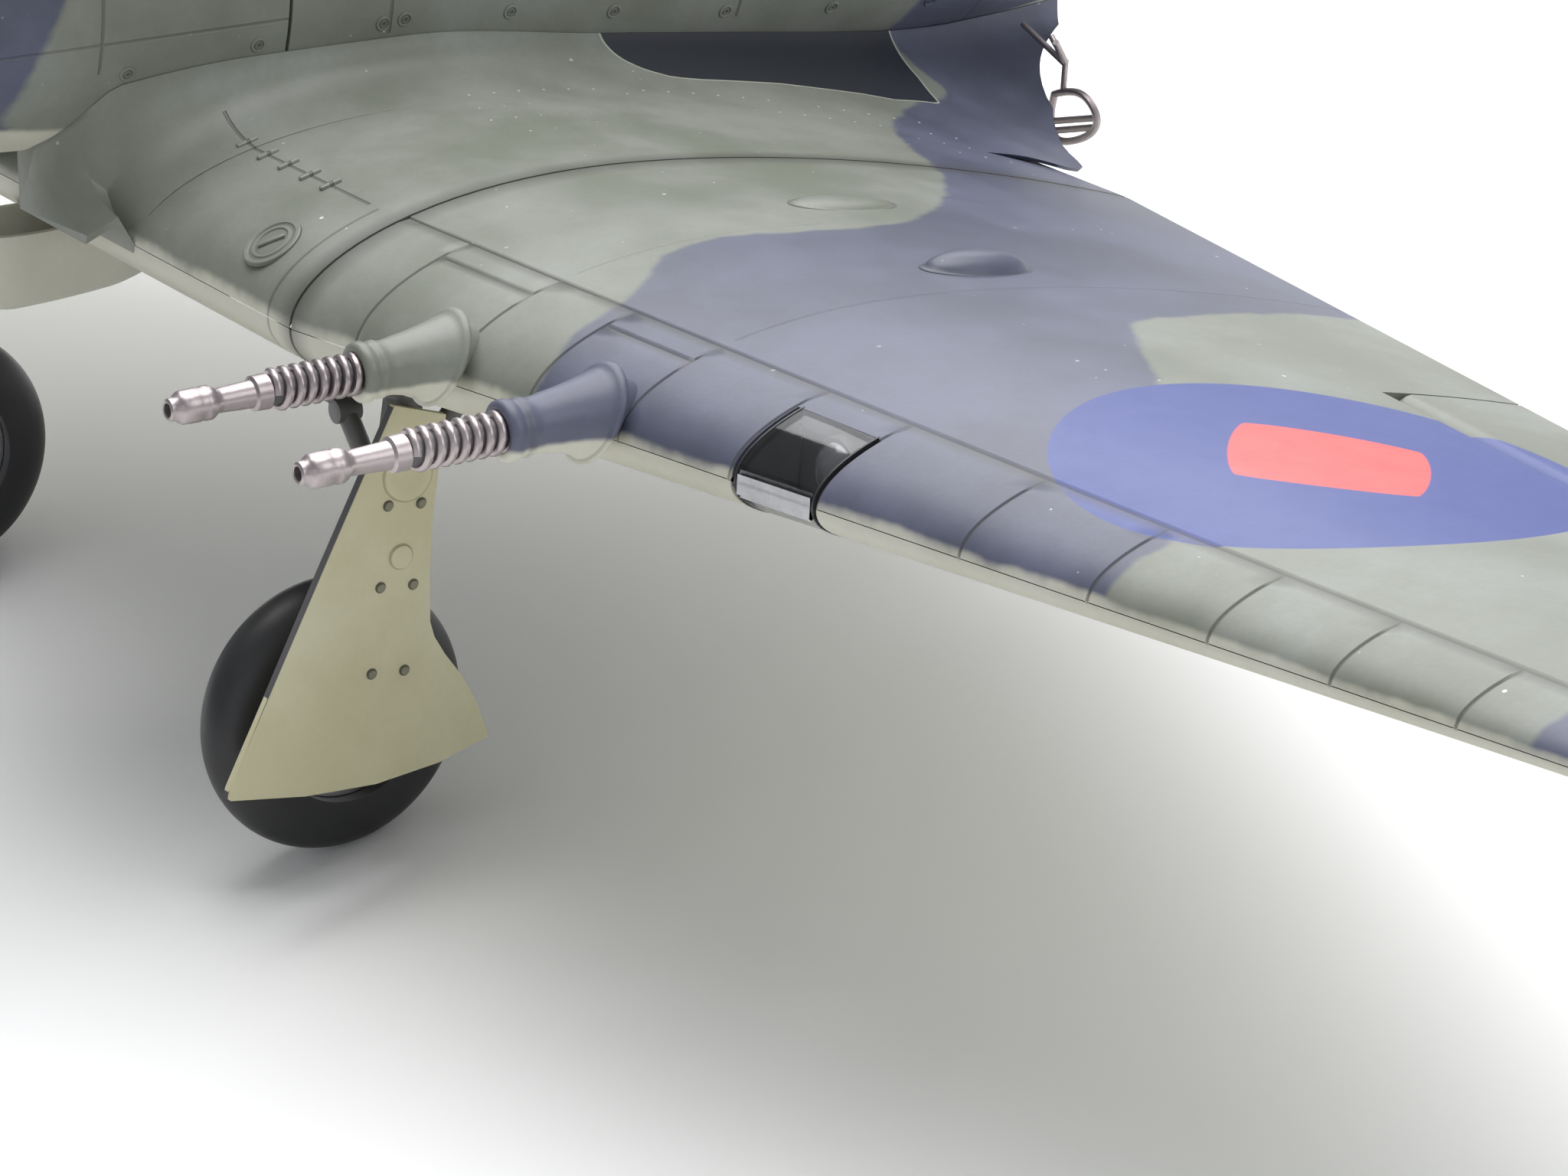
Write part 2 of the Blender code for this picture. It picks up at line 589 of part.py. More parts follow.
def battery_hatch():
    """The cover between cowling and windscreen, cut from the fuselage's own skin."""
    rings = [body_ring(y * MM) for y in (82.5, 88, 93, 99)]
    made = sheet("battery_hatch", rings, WALL)
    keep(made, "grey_green", origin=(0, HATCH_FRONT + GAP, eased(BODY, HATCH_FRONT / MM)[1] * MM))
    join(made, as_cutter(box("hatch_outline",
                             (-HATCH_HALF_WIDTH + GAP, HATCH_FRONT + GAP, 6 * MM),
                             (HATCH_HALF_WIDTH - GAP, HATCH_BACK - GAP, 30 * MM))), "INTERSECT")


def glazing_ring(y, top, points=13):
    """A half-oval hoop of the windscreen or canopy, standing on the cockpit's sill."""
    ring = []
    for i in range(points):
        angle = math.pi * i / (points - 1)
        ring.append((CANOPY_HALF_WIDTH * math.cos(angle), y,
                     SILL + (top - SILL) * math.sin(angle)**0.85))
    return ring


def cockpit():
    canopy_rings = [(CANOPY_FRONT, 31.4), (124 * MM, 32.0), (135 * MM, 31.4), (CANOPY_BACK, 29.6)]
    canopy = sheet("canopy", [glazing_ring(y, top * MM) for y, top in canopy_rings], GLAZING,
                   round_trip=False)
    keep(canopy, "clear_glazing", origin=(0, CANOPY_FRONT, SILL))
    screen_rings = [(101.5 * MM, 19.6), (106.5 * MM, 25.0), (111 * MM, 29.2),
                    (CANOPY_FRONT - GAP, 31.3)]
    screen = sheet("windscreen", [glazing_ring(y, top * MM) for y, top in screen_rings], GLAZING,
                   round_trip=False)
    join(keep(screen, "clear_glazing"), FUSELAGE_CUTTER)
    reach = COCKPIT_HALF_WIDTH - GAP
    tub = box("cockpit_tub", (-reach, COCKPIT_FRONT + GAP, TUB_FLOOR),
              (reach, COCKPIT_BACK - GAP, 10 * MM))
    hollow = box("tub_hollow", (-reach + WALL, COCKPIT_FRONT + GAP + WALL, TUB_FLOOR + WALL),
                 (reach - WALL, COCKPIT_BACK - GAP - WALL, 20 * MM))
    join(keep(tub, "cockpit_green"), as_cutter(hollow))


def root_fillet(side, name):
    """The concave fairing between wing and fuselage, which runs on behind the trailing edge."""
    # station, height on the fuselage's side, reach over the wing, height of the outer edge (mm)
    rows = ((61.0, -15.5, 15.8, -20.5), (66.0, -10.2, 18.6, -17.0), (77.0, -9.3, 20.0, -13.6),
            (90.0, -9.4, 21.0, -12.8), (109.0, -12.0, 23.0, -13.6), (125.0, -14.5, 26.0, -16.8),
            (137.0, -16.6, 31.0, -20.6), (142.0, -17.4, 33.5, -22.6), (146.0, -17.8, 26.0, -23.0),
            (149.5, -17.9, 20.0, -22.2), (153.5, -17.9, 16.0, -20.6), (160.0, -17.4, 12.8, -18.8))
    rings = []
    for y, top, reach, low in rows:
        beside = body_width_at(y * MM, top * MM) + GAP
        start = Vector((beside + 0.5 * MM, y * MM, top * MM))
        leading, chord, _ = wing_line(reach * MM)
        c = (y * MM - leading) / chord
        end = Vector((reach * MM, y * MM, low * MM))
        if 0.0 <= c <= 1.0:
            end.z = wing_surface(reach * MM, c, 1, GAP + 0.3 * MM).z
        corner = Vector((start.x + 0.12 * (end.x - start.x), y * MM,
                         end.z + 0.12 * (start.z - end.z)))
        arc = []
        for i in range(9):
            t = i / 8
            arc.append((1 - t)**2 * start + 2 * t * (1 - t) * corner + t**2 * end)
        inward = Vector((-4.5, 0, 0)) * MM
        floor = 1.6 * MM if c <= 1.0 else 0.7 * MM
        under = [end - Vector((0, 0, floor)), start + inward + Vector((0, 0, end.z - start.z - floor)),
                 start + inward]
        ring = arc + under
        rings.append([Vector((side * point.x, point.y, point.z)) for point in ring])
    made = keep(loft(f"root_fillet_{name}", rings), "grey_green")
    join(made, FUSELAGE_CUTTER)
    join(made, WING_CUTTER)


def radiator():
    """The open tunnel under the centre section that cools the motor."""
    rings = []
    for y, half, low in ((108, 8.0, -37.5), (112, 9.0, -39.0), (130, 9.0, -38.0), (146, 7.6, -33.5)):
        rings.append([(half * MM * math.cos(a), y * MM, -24 * MM - (24 + low) * -1 * MM * math.sin(a))
                      for a in (math.pi * i / 12 for i in range(13))])
    made = keep(sheet("radiator", rings, WALL, round_trip=False), "sky_underside")
    join(made, WING_CUTTER)


def carb_intake():
    rings = []
    for y, half, low in ((58, 3.4, -29.8), (62, 4.2, -30.6), (70, 3.8, -30.2), (75.5, 2.4, -28.8)):
        rings.append([(half * MM * math.cos(a), y * MM, -23.5 * MM + (low + 23.5) * MM * math.sin(a))
                      for a in (math.pi * i / 10 for i in range(11))])
    made = keep(sheet("carb_intake", rings, WALL * 0.75, round_trip=False), "sky_underside")
    join(made, WING_CUTTER)


# --- Power train ---------------------------------------------------------------------------------

def gear_outline(teeth, phase, addendum):
    """A toothed outline with involute flanks of 20 degrees pressure angle and some backlash."""
    pitch = GEAR_MODULE * teeth / 2
    base = pitch * math.cos(math.radians(20))
    tip, root = pitch + addendum * GEAR_MODULE, pitch - 1.2 * GEAR_MODULE
    involute = lambda r: math.sqrt(max(0.0, (r / base)**2 - 1)) - math.acos(min(1.0, base / r))
    half_tooth = 0.43 * math.pi / teeth
    outline = []
    for k in range(teeth):
        middle = phase + 2 * math.pi * k / teeth
        radii = [max(base, root), tip]
        offsets = [half_tooth + involute(pitch) - involute(r) for r in radii]
        outline.append((root, middle - offsets[0] * 1.1))
        outline += [(r, middle - o) for r, o in zip(radii, offsets)]
        outline += [(r, middle + o) for r, o in zip(radii[::-1], offsets[::-1])]
        outline.append((root, middle + offsets[0] * 1.1))
    return [(r * math.cos(a), r * math.sin(a)) for r, a in outline]


def gears():
    wheel = prism("drive_gear", gear_outline(GEAR_TEETH, -math.pi / 2, 0.85), GEAR_FRONT,
                  GEAR_FRONT + GEAR_WIDTH, axis="Y")
    keep(wheel, "nylon_white", origin=(0, GEAR_FRONT, 0))
    join(wheel, as_cutter(rod("gear_bore", (0, GEAR_FRONT - 1 * MM, 0),
                              (0, GEAR_FRONT + GEAR_WIDTH + 1 * MM, 0), SHAFT_RADIUS + GAP)))
    drop = -CENTRE_DISTANCE
    flat = gear_outline(PINION_TEETH, math.pi / 2 + math.pi / PINION_TEETH, 1.0)
    pinion = prism("motor_pinion", [(x, z + drop) for x, z in flat], GEAR_FRONT - 0.2 * MM,
                   GEAR_FRONT + GEAR_WIDTH + 0.2 * MM, axis="Y")
    keep(pinion, "white_metal", origin=(0, GEAR_FRONT, drop))
    join(pinion, as_cutter(rod("motor_shaft", (0, GEAR_FRONT - 1 * MM, drop),
                               (0, MOTOR_FRONT - GAP, drop), 0.6 * MM)), "UNION")


def power_train():
    keep(rod("prop_shaft", (0, SHAFT_START, 0), (0, SHAFT_END, 0), SHAFT_RADIUS), "bare_steel")
    bearings = {"front": 26.0 * MM, "rear": 58.0 * MM}
    for label, start in bearings.items():
        profile = [(start, SHAFT_RADIUS + GAP), (start, BEARING_RADIUS),
                   (start + BEARING_LENGTH, BEARING_RADIUS),
                   (start + BEARING_LENGTH, SHAFT_RADIUS + GAP)]
        keep(turned(f"shaft_bearing_{label}", profile, (0, 0, 0), 20, closed=True), "bare_steel")
    motor = keep(rod("motor_can", (0, MOTOR_FRONT, -CENTRE_DISTANCE),
                     (0, MOTOR_BACK, -CENTRE_DISTANCE), MOTOR_RADIUS, sides=24), "white_metal")
    edge = motor.modifiers.new("rim", "BEVEL")
    edge.width = 0.4 * MM
    edge.segments = 1
    edge.limit_method = "ANGLE"
    frame = keep(box("motor_frame", (-8.2 * MM, 26 * MM, -4 * MM), (8.2 * MM, 28.4 * MM, 4 * MM)),
                 "black_plastic")
    plates = (("cradle", (-8.2, 38, -9.0), (8.2, 39.5, 3)), ("back_plate", (-8.2, 58, -4), (8.2, 60.4, 4)),
              ("rail_left", (7, 27, -2), (8.2, 81, 2)), ("rail_right", (-8.2, 27, -2), (-7, 81, 2)),
              ("firewall", (-11.5, 80.6, -11), (11.5, 81.8, 9)))
    for label, low, high in plates:
        piece = box(label, [value * MM for value in low], [value * MM for value in high])
        join(frame, as_cutter(piece), "UNION")
    bores = (("bearing_seats", 0.0, 25 * MM, 29 * MM, BEARING_RADIUS),
             ("rear_seat", 0.0, 57 * MM, 62 * MM, BEARING_RADIUS),
             ("shaft_way", 0.0, 29 * MM, 57 * MM, SHAFT_RADIUS + 0.3 * MM),
             ("motor_seat", -CENTRE_DISTANCE, 37 * MM, 41 * MM, MOTOR_RADIUS))
    for label, height, start, end, radius in bores:
        hole = rod(label, (0, start, height), (0, end, height), radius + GAP, sides=24)
        join(frame, as_cutter(hole))


def blade(index):
    """One propeller blade: a twisted loft from a round root to a rounded tip."""
    # distance from the axis, chord, thickness, pitch angle in degrees
    rows = ((0.05, 4.0, 3.6, 70), (0.16, 4.4, 3.4, 62), (0.3, 8.6, 2.4, 48), (0.5, 10.2, 1.7, 36),
            (0.72, 9.6, 1.2, 28), (0.9, 7.0, 0.9, 23), (0.98, 3.6, 0.7, 21), (1.0, 1.2, 0.5, 21))
    turn = Matrix.Rotation(math.pi / 2 + 2 * math.pi * index / BLADES, 4, "Y")
    rings = []
    for share, chord, thick, angle in rows:
        pitch = math.radians(angle)
        ring = []
        for k in range(10):
            a = 2 * math.pi * k / 10
            along, across = chord / 2 * MM * math.cos(a), thick / 2 * MM * math.sin(a)
            ring.append(turn @ Vector((share * PROP_RADIUS,
                                       PROP_PLANE + along * math.sin(pitch) + across * math.cos(pitch),
                                       along * math.cos(pitch) - across * math.sin(pitch))))
        rings.append(ring)
    return loft(f"blade_{index}", rings)


def propeller():
    hub = turned("propeller", [(10 * MM, SHAFT_RADIUS + GAP), (10 * MM, 4.6 * MM),
                               (16 * MM, 4.6 * MM), (16 * MM, SHAFT_RADIUS + GAP)], (0, 0, 0), 24,
                 closed=True)
    keep(hub, "black_plastic")
    bore = as_cutter(rod("hub_bore", (0, 5 * MM, 0), (0, 20 * MM, 0), SHAFT_RADIUS + GAP))
    cone = [(0.0, 0.0), (0.7 * MM, 2.6 * MM), (3 * MM, 5.2 * MM), (7 * MM, 7.7 * MM),
            (12 * MM, 9.5 * MM), (17 * MM, 10.5 * MM), (SPINNER_LENGTH, SPINNER_RADIUS),
            (SPINNER_LENGTH, 3 * MM), (SPINNER_LENGTH - WALL, 3 * MM),
            (SPINNER_LENGTH - WALL, SPINNER_RADIUS - WALL), (17 * MM, 9.7 * MM),
            (12 * MM, 8.7 * MM), (7 * MM, 6.8 * MM), (3.8 * MM, 4.4 * MM), (2.2 * MM, 0.0)]
    spinner = keep(turned("spinner", cone, (0, 0, 0), 20), "black_plastic")
    for index in range(BLADES):
        tool = as_cutter(blade(index))
        join(hub, tool, "UNION")
        turn = Matrix.Rotation(math.pi / 2 + 2 * math.pi * index / BLADES, 4, "Y")
        port = rod(f"blade_port_{index}", turn @ Vector((5.4 * MM, PROP_PLANE, 0)),
                   turn @ Vector((13 * MM, PROP_PLANE, 0)), 3.4 * MM, sides=20)
        join(spinner, as_cutter(port))
    join(hub, bore)


# --- Electrics and controls ------------------------------------------------------------------------

def electrics():
    keep(box("battery", (-7.5 * MM, 84.5 * MM, -11 * MM), (7.5 * MM, 93 * MM, 12 * MM)),
         "cell_foil")
    board = keep(box("receiver_board", (-8 * MM, 94.5 * MM, -10 * MM), (8 * MM, 96 * MM, 8 * MM)),
                 "circuit_board")
    for index, x in enumerate((-5.5, 2.5)):
        servo = box(f"servo_{index}", (x * MM, 95.5 * MM, -9 * MM), ((x + 3) * MM, 101 * MM, 5 * MM))
        join(board, as_cutter(servo), "UNION")


def pushrods():
    for label, (start, end) in PUSHRODS.items():
        keep(rod(f"{label}_pushrod", start, end, PUSHROD_RADIUS, sides=8), "bare_steel", origin=start)


# --- Tail --------------------------------------------------------------------------------------------

def tail_ring(place, leading, trailing, thick, blunt):
    """A symmetric section: round nose, and either a fine or a blunt back."""
    chord = trailing - leading
    steps = (0.0, 0.04, 0.15, 0.4, 0.7, 1.0)
    rise = [0.0, 0.45, 0.82, 1.0, 0.95, 0.85] if blunt else [0.0, 0.45, 0.82, 1.0, 0.6, 0.12]
    upper = [place(leading + c * chord, thick / 2 * r) for c, r in zip(steps, rise)]
    lower = [place(leading + c * chord, -thick / 2 * r) for c, r in zip(steps, rise)]
    return upper + lower[:0:-1]


def flat_place(x):
    return lambda y, up: (x, y, TAILPLANE_HEIGHT + up)


def tailplane(name, grow=0.0):
    rings = []
    for x, leading, thick in ((-52, 266, 1.6), (-49, 261.5, 2.2), (-40, 258, 2.8), (0, 251, 3.4),
                              (40, 258, 2.8), (49, 261.5, 2.2), (52, 266, 1.6)):
        rings.append(tail_ring(flat_place(x * MM), leading * MM - grow,
                               ELEVATOR_HINGE - 1.7 * MM - GAP + grow, thick * MM + 2 * grow, True))
    return loft(name, rings)


def elevator():
    """Both halves on one torque rod, with the space between them for the rudder."""
    joiner = rod("elevator", (-8 * MM, ELEVATOR_HINGE, TAILPLANE_HEIGHT),
                 (8 * MM, ELEVATOR_HINGE, TAILPLANE_HEIGHT), 0.9 * MM, sides=16)
    keep(joiner, "grey_green", origin=(0, ELEVATOR_HINGE, TAILPLANE_HEIGHT))
    for side in (1, -1):
        rings = []
        for x, trailing, radius in ((5.0, 291.5, 1.4), (9.5, 293.5, 1.4), (40, 291.5, 1.2),
                                    (49, 288.0, 1.0), (52, 283.5, 0.7)):
            nose = [(side * x * MM, ELEVATOR_HINGE - radius * MM * math.cos(a),
                     TAILPLANE_HEIGHT + radius * MM * math.sin(a))
                    for a in (math.radians(d) for d in (-90, -50, 0, 50, 90))]
            tail = [(side * x * MM, trailing * MM, TAILPLANE_HEIGHT + up * MM) for up in (0.3, -0.3)]
            rings.append(nose + tail)
        join(joiner, as_cutter(loft(f"elevator_half_{side}", rings)), "UNION")
    horn = box("elevator_horn", (5.2 * MM, ELEVATOR_HINGE - 1.2 * MM, TAILPLANE_HEIGHT - 6 * MM),
               (6.0 * MM, ELEVATOR_HINGE + 1.2 * MM, TAILPLANE_HEIGHT - 0.5 * MM))
    join(joiner, as_cutter(horn), "UNION")


def fin_and_rudder():
    rings = []
    for z, leading, thick in ((9.5, 246, 3.4), (18, 256, 3.2), (30, 264, 2.6), (37, 270, 2.2),
                              (40.5, 276, 1.6)):
        rings.append(tail_ring(lambda y, up, z=z: (up, y, z * MM), leading * MM,
                               RUDDER_HINGE - 1.8 * MM - GAP, thick * MM, True))
    fin = keep(loft("fin", rings), "grey_green")
    join(fin, FUSELAGE_CUTTER)
    rings = []
    for z, radius, trailing in ((-4.5, 0.9, 290), (-1, 1.3, 296), (8, 1.5, 303), (18, 1.5, 306.5),
                                (28, 1.3, 305), (36, 1.1, 299), (40.5, 0.9, 291), (42, 0.7, 288)):
        nose = [(radius * MM * math.sin(a), RUDDER_HINGE - radius * MM * math.cos(a), z * MM)
                for a in (math.radians(d) for d in (-90, -50, 0, 50, 90))]
        tail = [(across * MM, trailing * MM, z * MM) for across in (0.3, -0.3)]
        rings.append(nose + tail)
    rudder = keep(loft("rudder", rings), "grey_green", origin=(0, RUDDER_HINGE, 0))
    horn = box("rudder_horn", (-6.0 * MM, RUDDER_HINGE - 0.6 * MM, -0.4 * MM),
               (0, RUDDER_HINGE + 0.8 * MM, 0.5 * MM))
    join(rudder, as_cutter(horn), "UNION")


# --- Undercarriage ---------------------------------------------------------------------------------

def wheel_height(y, radius):
    """Height of an axle at station y whose wheel touches the same ground as the main wheels."""
    ground = (-math.sin(STANCE_PITCH) * WHEEL.y + math.cos(STANCE_PITCH) * WHEEL.z
              - WHEEL_RADIUS)
    return (ground + radius + math.sin(STANCE_PITCH) * y) / math.cos(STANCE_PITCH)


def tyre_profile(radius, half_width, inner):
    """A rounded tread, from the inner bead round the outside to the outer bead."""
    profile = []
    for k in range(9):
        a = math.pi * (k / 8 - 0.5)
        bulge = (math.cos(a) if abs(math.cos(a)) > 1e-9 else 0.0)**0.75
        profile.append((half_width * math.sin(a), inner + (radius - inner) * bulge))
    return profile


def main_gear(side, name):
    mirror = Vector((side, 1, 1))
    pivot, wheel = PIVOT * mirror, WHEEL * mirror
    axis = Vector((side * RETRACT_AXIS.x, RETRACT_AXIS.y, RETRACT_AXIS.z))
    foot = Vector((side * 40.1 * MM, wheel.y, wheel.z))
    middle = pivot.lerp(foot, 0.55)
    leg = rod(f"gear_leg_{name}", pivot, middle, LEG_RADIUS)
    keep(leg, "sky_underside", origin=pivot)
    join(leg, as_cutter(rod(f"oleo_{name}", middle - (middle - pivot) * 0.1,
                            foot - (foot - pivot).normalized() * 0.5 * MM, OLEO_RADIUS)), "UNION")
    join(leg, as_cutter(rod(f"trunnion_{name}", pivot - axis * 2.0 * MM, pivot + axis * 7.0 * MM,
                            TRUNNION_RADIUS)), "UNION")
    join(leg, as_cutter(rod(f"axle_{name}", foot + Vector((side * 0.9 * MM, 0, 0)),
                            (side * 31.6 * MM, wheel.y, wheel.z), AXLE_RADIUS)), "UNION")
    join(leg, as_cutter(rod(f"drag_strut_{name}", pivot.lerp(foot, 0.42),
                            pivot + axis * 6.2 * MM, DRAG_STRUT_RADIUS, sides=12)), "UNION")
    outline = [(72.2, -28.4), (76.6, -29.9), (75.4, -37.0), (74.9, -46.0), (79.9, -56.4),
               (75.5, -57.6), (70.0, -58.1), (64.0, -57.7), (57.4, -56.4), (66.2, -39.5)]
    outline = [(y * MM, z * MM) for y, z in outline]
    outer = side * COVER_X
    plate = prism(f"leg_cover_{name}", outline, outer - side * COVER_THICKNESS, outer, axis="X")
    keep(plate, "sky_underside", origin=pivot)
    hub = [(-WHEEL_HALF_WIDTH, AXLE_RADIUS + GAP), (-WHEEL_HALF_WIDTH, 2.4 * MM),
           (-0.8 * MM, 3.0 * MM), (-1.4 * MM, HUB_RADIUS), (1.4 * MM, HUB_RADIUS),
           (0.8 * MM, 3.0 * MM), (WHEEL_HALF_WIDTH, 2.4 * MM), (WHEEL_HALF_WIDTH, AXLE_RADIUS + GAP)]
    keep(turned(f"wheel_hub_{name}", hub, wheel, 20, axis="X", closed=True), "white_metal")
    profile = tyre_profile(WHEEL_RADIUS, WHEEL_HALF_WIDTH, HUB_RADIUS + GAP)
    keep(turned(f"tyre_{name}", profile, wheel, 28, axis="X", closed=True), "dark_rubber")
    low = STAY_FOOT * mirror
    stay = rod(f"side_stay_{name}", low, STAY_FORK * mirror, 0.8 * MM, sides=10)
    keep(stay, "black_plastic", origin=low)
    for index, head in enumerate(STAY_HEADS):
        arm = rod(f"stay_arm_{index}_{name}", STAY_FORK * mirror, head * mirror, 0.65 * MM, sides=10)
        join(stay, as_cutter(arm), "UNION")


def tail_gear():
    axle_z = wheel_height(TAIL_WHEEL_Y, TAIL_WHEEL_RADIUS)
    leg = keep(rod("tail_leg", (0, TAIL_LEG_Y, -0.5 * MM), (0, TAIL_LEG_Y, axle_z + 7 * MM), 1.0 * MM),
               "sky_underside", origin=(0, TAIL_LEG_Y, 0))
    bridge = box("fork_bridge", (-3.0 * MM, TAIL_LEG_Y - 1.2 * MM, axle_z + 5.4 * MM),
                 (3.0 * MM, TAIL_LEG_Y + 4.0 * MM, axle_z + 7.2 * MM))
    join(leg, as_cutter(bridge), "UNION")
    for side in (1, -1):
        arm = rod(f"fork_arm_{side}", (side * 2.45 * MM, TAIL_LEG_Y + 2 * MM, axle_z + 6.2 * MM),
                  (side * 2.45 * MM, TAIL_WHEEL_Y + 0.4 * MM, axle_z - 0.5 * MM), 0.55 * MM, sides=10)
        join(leg, as_cutter(arm), "UNION")
    join(leg, as_cutter(rod("tail_axle", (-2.8 * MM, TAIL_WHEEL_Y, axle_z),
                            (2.8 * MM, TAIL_WHEEL_Y, axle_z), 0.5 * MM, sides=12)), "UNION")
    profile = tyre_profile(TAIL_WHEEL_RADIUS, TAIL_WHEEL_HALF_WIDTH, 0.8 * MM)
    keep(turned("tail_wheel", profile, (0, TAIL_WHEEL_Y, axle_z), 16, axis="X", closed=True),
         "dark_rubber")


def settle():
    """Tip the model back, then rest its wheels on Z = 0 with its middle over the origin."""
    STANCE.rotation_euler = (-STANCE_PITCH, 0, 0)
    bpy.context.view_layer.update()
    turn = STANCE.matrix_basis.to_3x3()
    wheel = turn @ WHEEL
    nose = (turn @ Vector((0, 0, 0))).y
    tail = (turn @ Vector((0, *RUDDER_TAIL))).y
    STANCE.location = (0, -(nose + tail) / 2, -(wheel.z - WHEEL_RADIUS))


clear_scene()
PARTS = new_collection("micro_warbird")
CUTTERS = new_collection("cutters")
STANCE = bpy.data.objects.new("stance", None)
PARTS.objects.link(STANCE)
WING_CUTTER = as_cutter(wing_solid("wing_cutter", [-TIP_START, -PANEL_MIDDLE, -JOINT_X, 0.0,
                                                   JOINT_X, PANEL_MIDDLE, TIP_START], GAP))
TAILPLANE_CUTTER = as_cutter(tailplane("tailplane_cutter", GAP))
FUSELAGE_CUTTER = fuselage_tools()
WHEEL_BAYS = {1: wheel_bay(1, "left"), -1: wheel_bay(-1, "right")}

centre_section()
main_spar()
engine_cowl()
fuselage_shell()
battery_hatch()
cockpit()
radiator()
carb_intake()
gears()
power_train()
propeller()
electrics()
pushrods()
keep(tailplane("tailplane"), "grey_green")
elevator()
fin_and_rudder()
tail_gear()
for hand, label in ((1, "left"), (-1, "right")):
    outer_panels(hand, label)
    aileron(hand, label)
    flap(hand, label)
    light_window(hand, label)
    root_fillet(hand, label)
    main_gear(hand, label)
    for place in GUNS:
        gun(hand, label, place)
settle()
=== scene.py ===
"""Micro radio-controlled warbird: the finished surfaces, paint and studio round the CAD frame.

Sizes are in millimetres in the aircraft's own datum: Y runs aft from the spinner's tip, X to
port and Z up from the propeller's axis. Each piece is modelled there, then settled on its wheels.
"""
import math

import bmesh
import bpy
import numpy as np
from mathutils import Matrix, Vector
from mathutils.bvhtree import BVHTree


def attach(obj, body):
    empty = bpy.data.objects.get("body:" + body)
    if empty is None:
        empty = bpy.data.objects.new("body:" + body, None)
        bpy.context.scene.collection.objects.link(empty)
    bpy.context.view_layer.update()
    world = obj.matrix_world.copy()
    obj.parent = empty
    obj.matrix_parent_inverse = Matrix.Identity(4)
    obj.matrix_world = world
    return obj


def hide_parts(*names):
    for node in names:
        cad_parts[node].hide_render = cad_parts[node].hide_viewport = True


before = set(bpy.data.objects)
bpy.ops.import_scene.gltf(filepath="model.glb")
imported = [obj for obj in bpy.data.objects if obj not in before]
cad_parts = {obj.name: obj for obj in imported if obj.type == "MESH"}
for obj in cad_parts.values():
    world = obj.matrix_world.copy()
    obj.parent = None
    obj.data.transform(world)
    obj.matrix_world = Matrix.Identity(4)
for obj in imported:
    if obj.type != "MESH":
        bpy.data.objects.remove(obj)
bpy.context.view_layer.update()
bpy.ops.object.select_all(action="DESELECT")

# --- Stance and camera ---------------------------------------------------------------------------
# The aircraft sits nose up on three wheels. The camera stands off its port bow, a little above
# the wing, with a long lens.
MM = 0.001
PITCH = math.radians(10.5)
STANCE = Matrix.Translation((0.0, -0.152498, 0.077379)) @ Matrix.Rotation(-PITCH, 4, "X")


def place_camera(spot, azimuth, elevation, roll, lens):
    """A camera at a spot that looks back along an azimuth and an elevation, with some roll."""
    az, el, turn = (math.radians(value) for value in (azimuth, elevation, roll))
    back = Vector((math.sin(az) * math.cos(el), -math.cos(az) * math.cos(el), math.sin(el)))
    right = Vector((math.cos(az), math.sin(az), 0.0))
    up = back.cross(right)
    level = Matrix((right, up, back)).transposed().to_4x4()
    data = bpy.data.cameras.new("bow_camera")
    data.lens, data.sensor_width = lens, 36.0
    data.clip_start, data.clip_end = 0.01, 20.0
    camera = bpy.data.objects.new("bow_camera", data)
    bpy.context.collection.objects.link(camera)
    camera.matrix_world = Matrix.Translation(spot) @ level @ Matrix.Rotation(turn, 4, "Z")
    return camera


bpy.context.scene.camera = place_camera(
    (0.34573, -0.23580, 0.18586), 59.395, 26.685, -9.058, 115.32)

# --- Studio --------------------------------------------------------------------------------------
# A wide pale floor and soft boxes: overhead, astern for a sheen on the wings' tops, ahead for the
# leading edges and to port, with a weak sky to fill.


def soft_box(name, spot, target, size, power, tint=(1.0, 1.0, 1.0)):
    data = bpy.data.lights.new(name, "AREA")
    data.shape = "RECTANGLE"
    data.size, data.size_y = size
    data.energy, data.color = power, tint
    lamp = bpy.data.objects.new(name, data)
    bpy.context.collection.objects.link(lamp)
    aim = Vector(target) - Vector(spot)
    lamp.matrix_world = Matrix.Translation(spot) @ aim.to_track_quat("-Z", "Y").to_matrix().to_4x4()
    return lamp


soft_box("top_box", (-0.15, 0.25, 1.1), (0.05, 0.0, 0.05), (1.2, 1.0), 18.5, (1.0, 0.99, 0.985))
soft_box("stern_box", (-0.95, 0.62, 0.62), (0.05, 0.0, 0.04), (1.0, 0.7), 7.5, (0.97, 0.98, 1.0))
soft_box("bow_box", (0.75, -0.75, 0.35), (0.05, -0.03, 0.05), (0.9, 0.35), 0.7, (0.97, 0.98, 1.0))
soft_box("port_box", (0.9, 0.35, 0.55), (0.05, 0.0, 0.04), (0.5, 0.6), 2.6, (1.0, 1.0, 1.0))

sky = bpy.data.worlds.new("studio")
sky.use_nodes = True
sky.node_tree.nodes["Background"].inputs["Color"].default_value = (0.82, 0.86, 0.92, 1.0)
sky.node_tree.nodes["Background"].inputs["Strength"].default_value = 0.40
bpy.context.scene.world = sky
bpy.context.scene.view_settings.view_transform = "Standard"

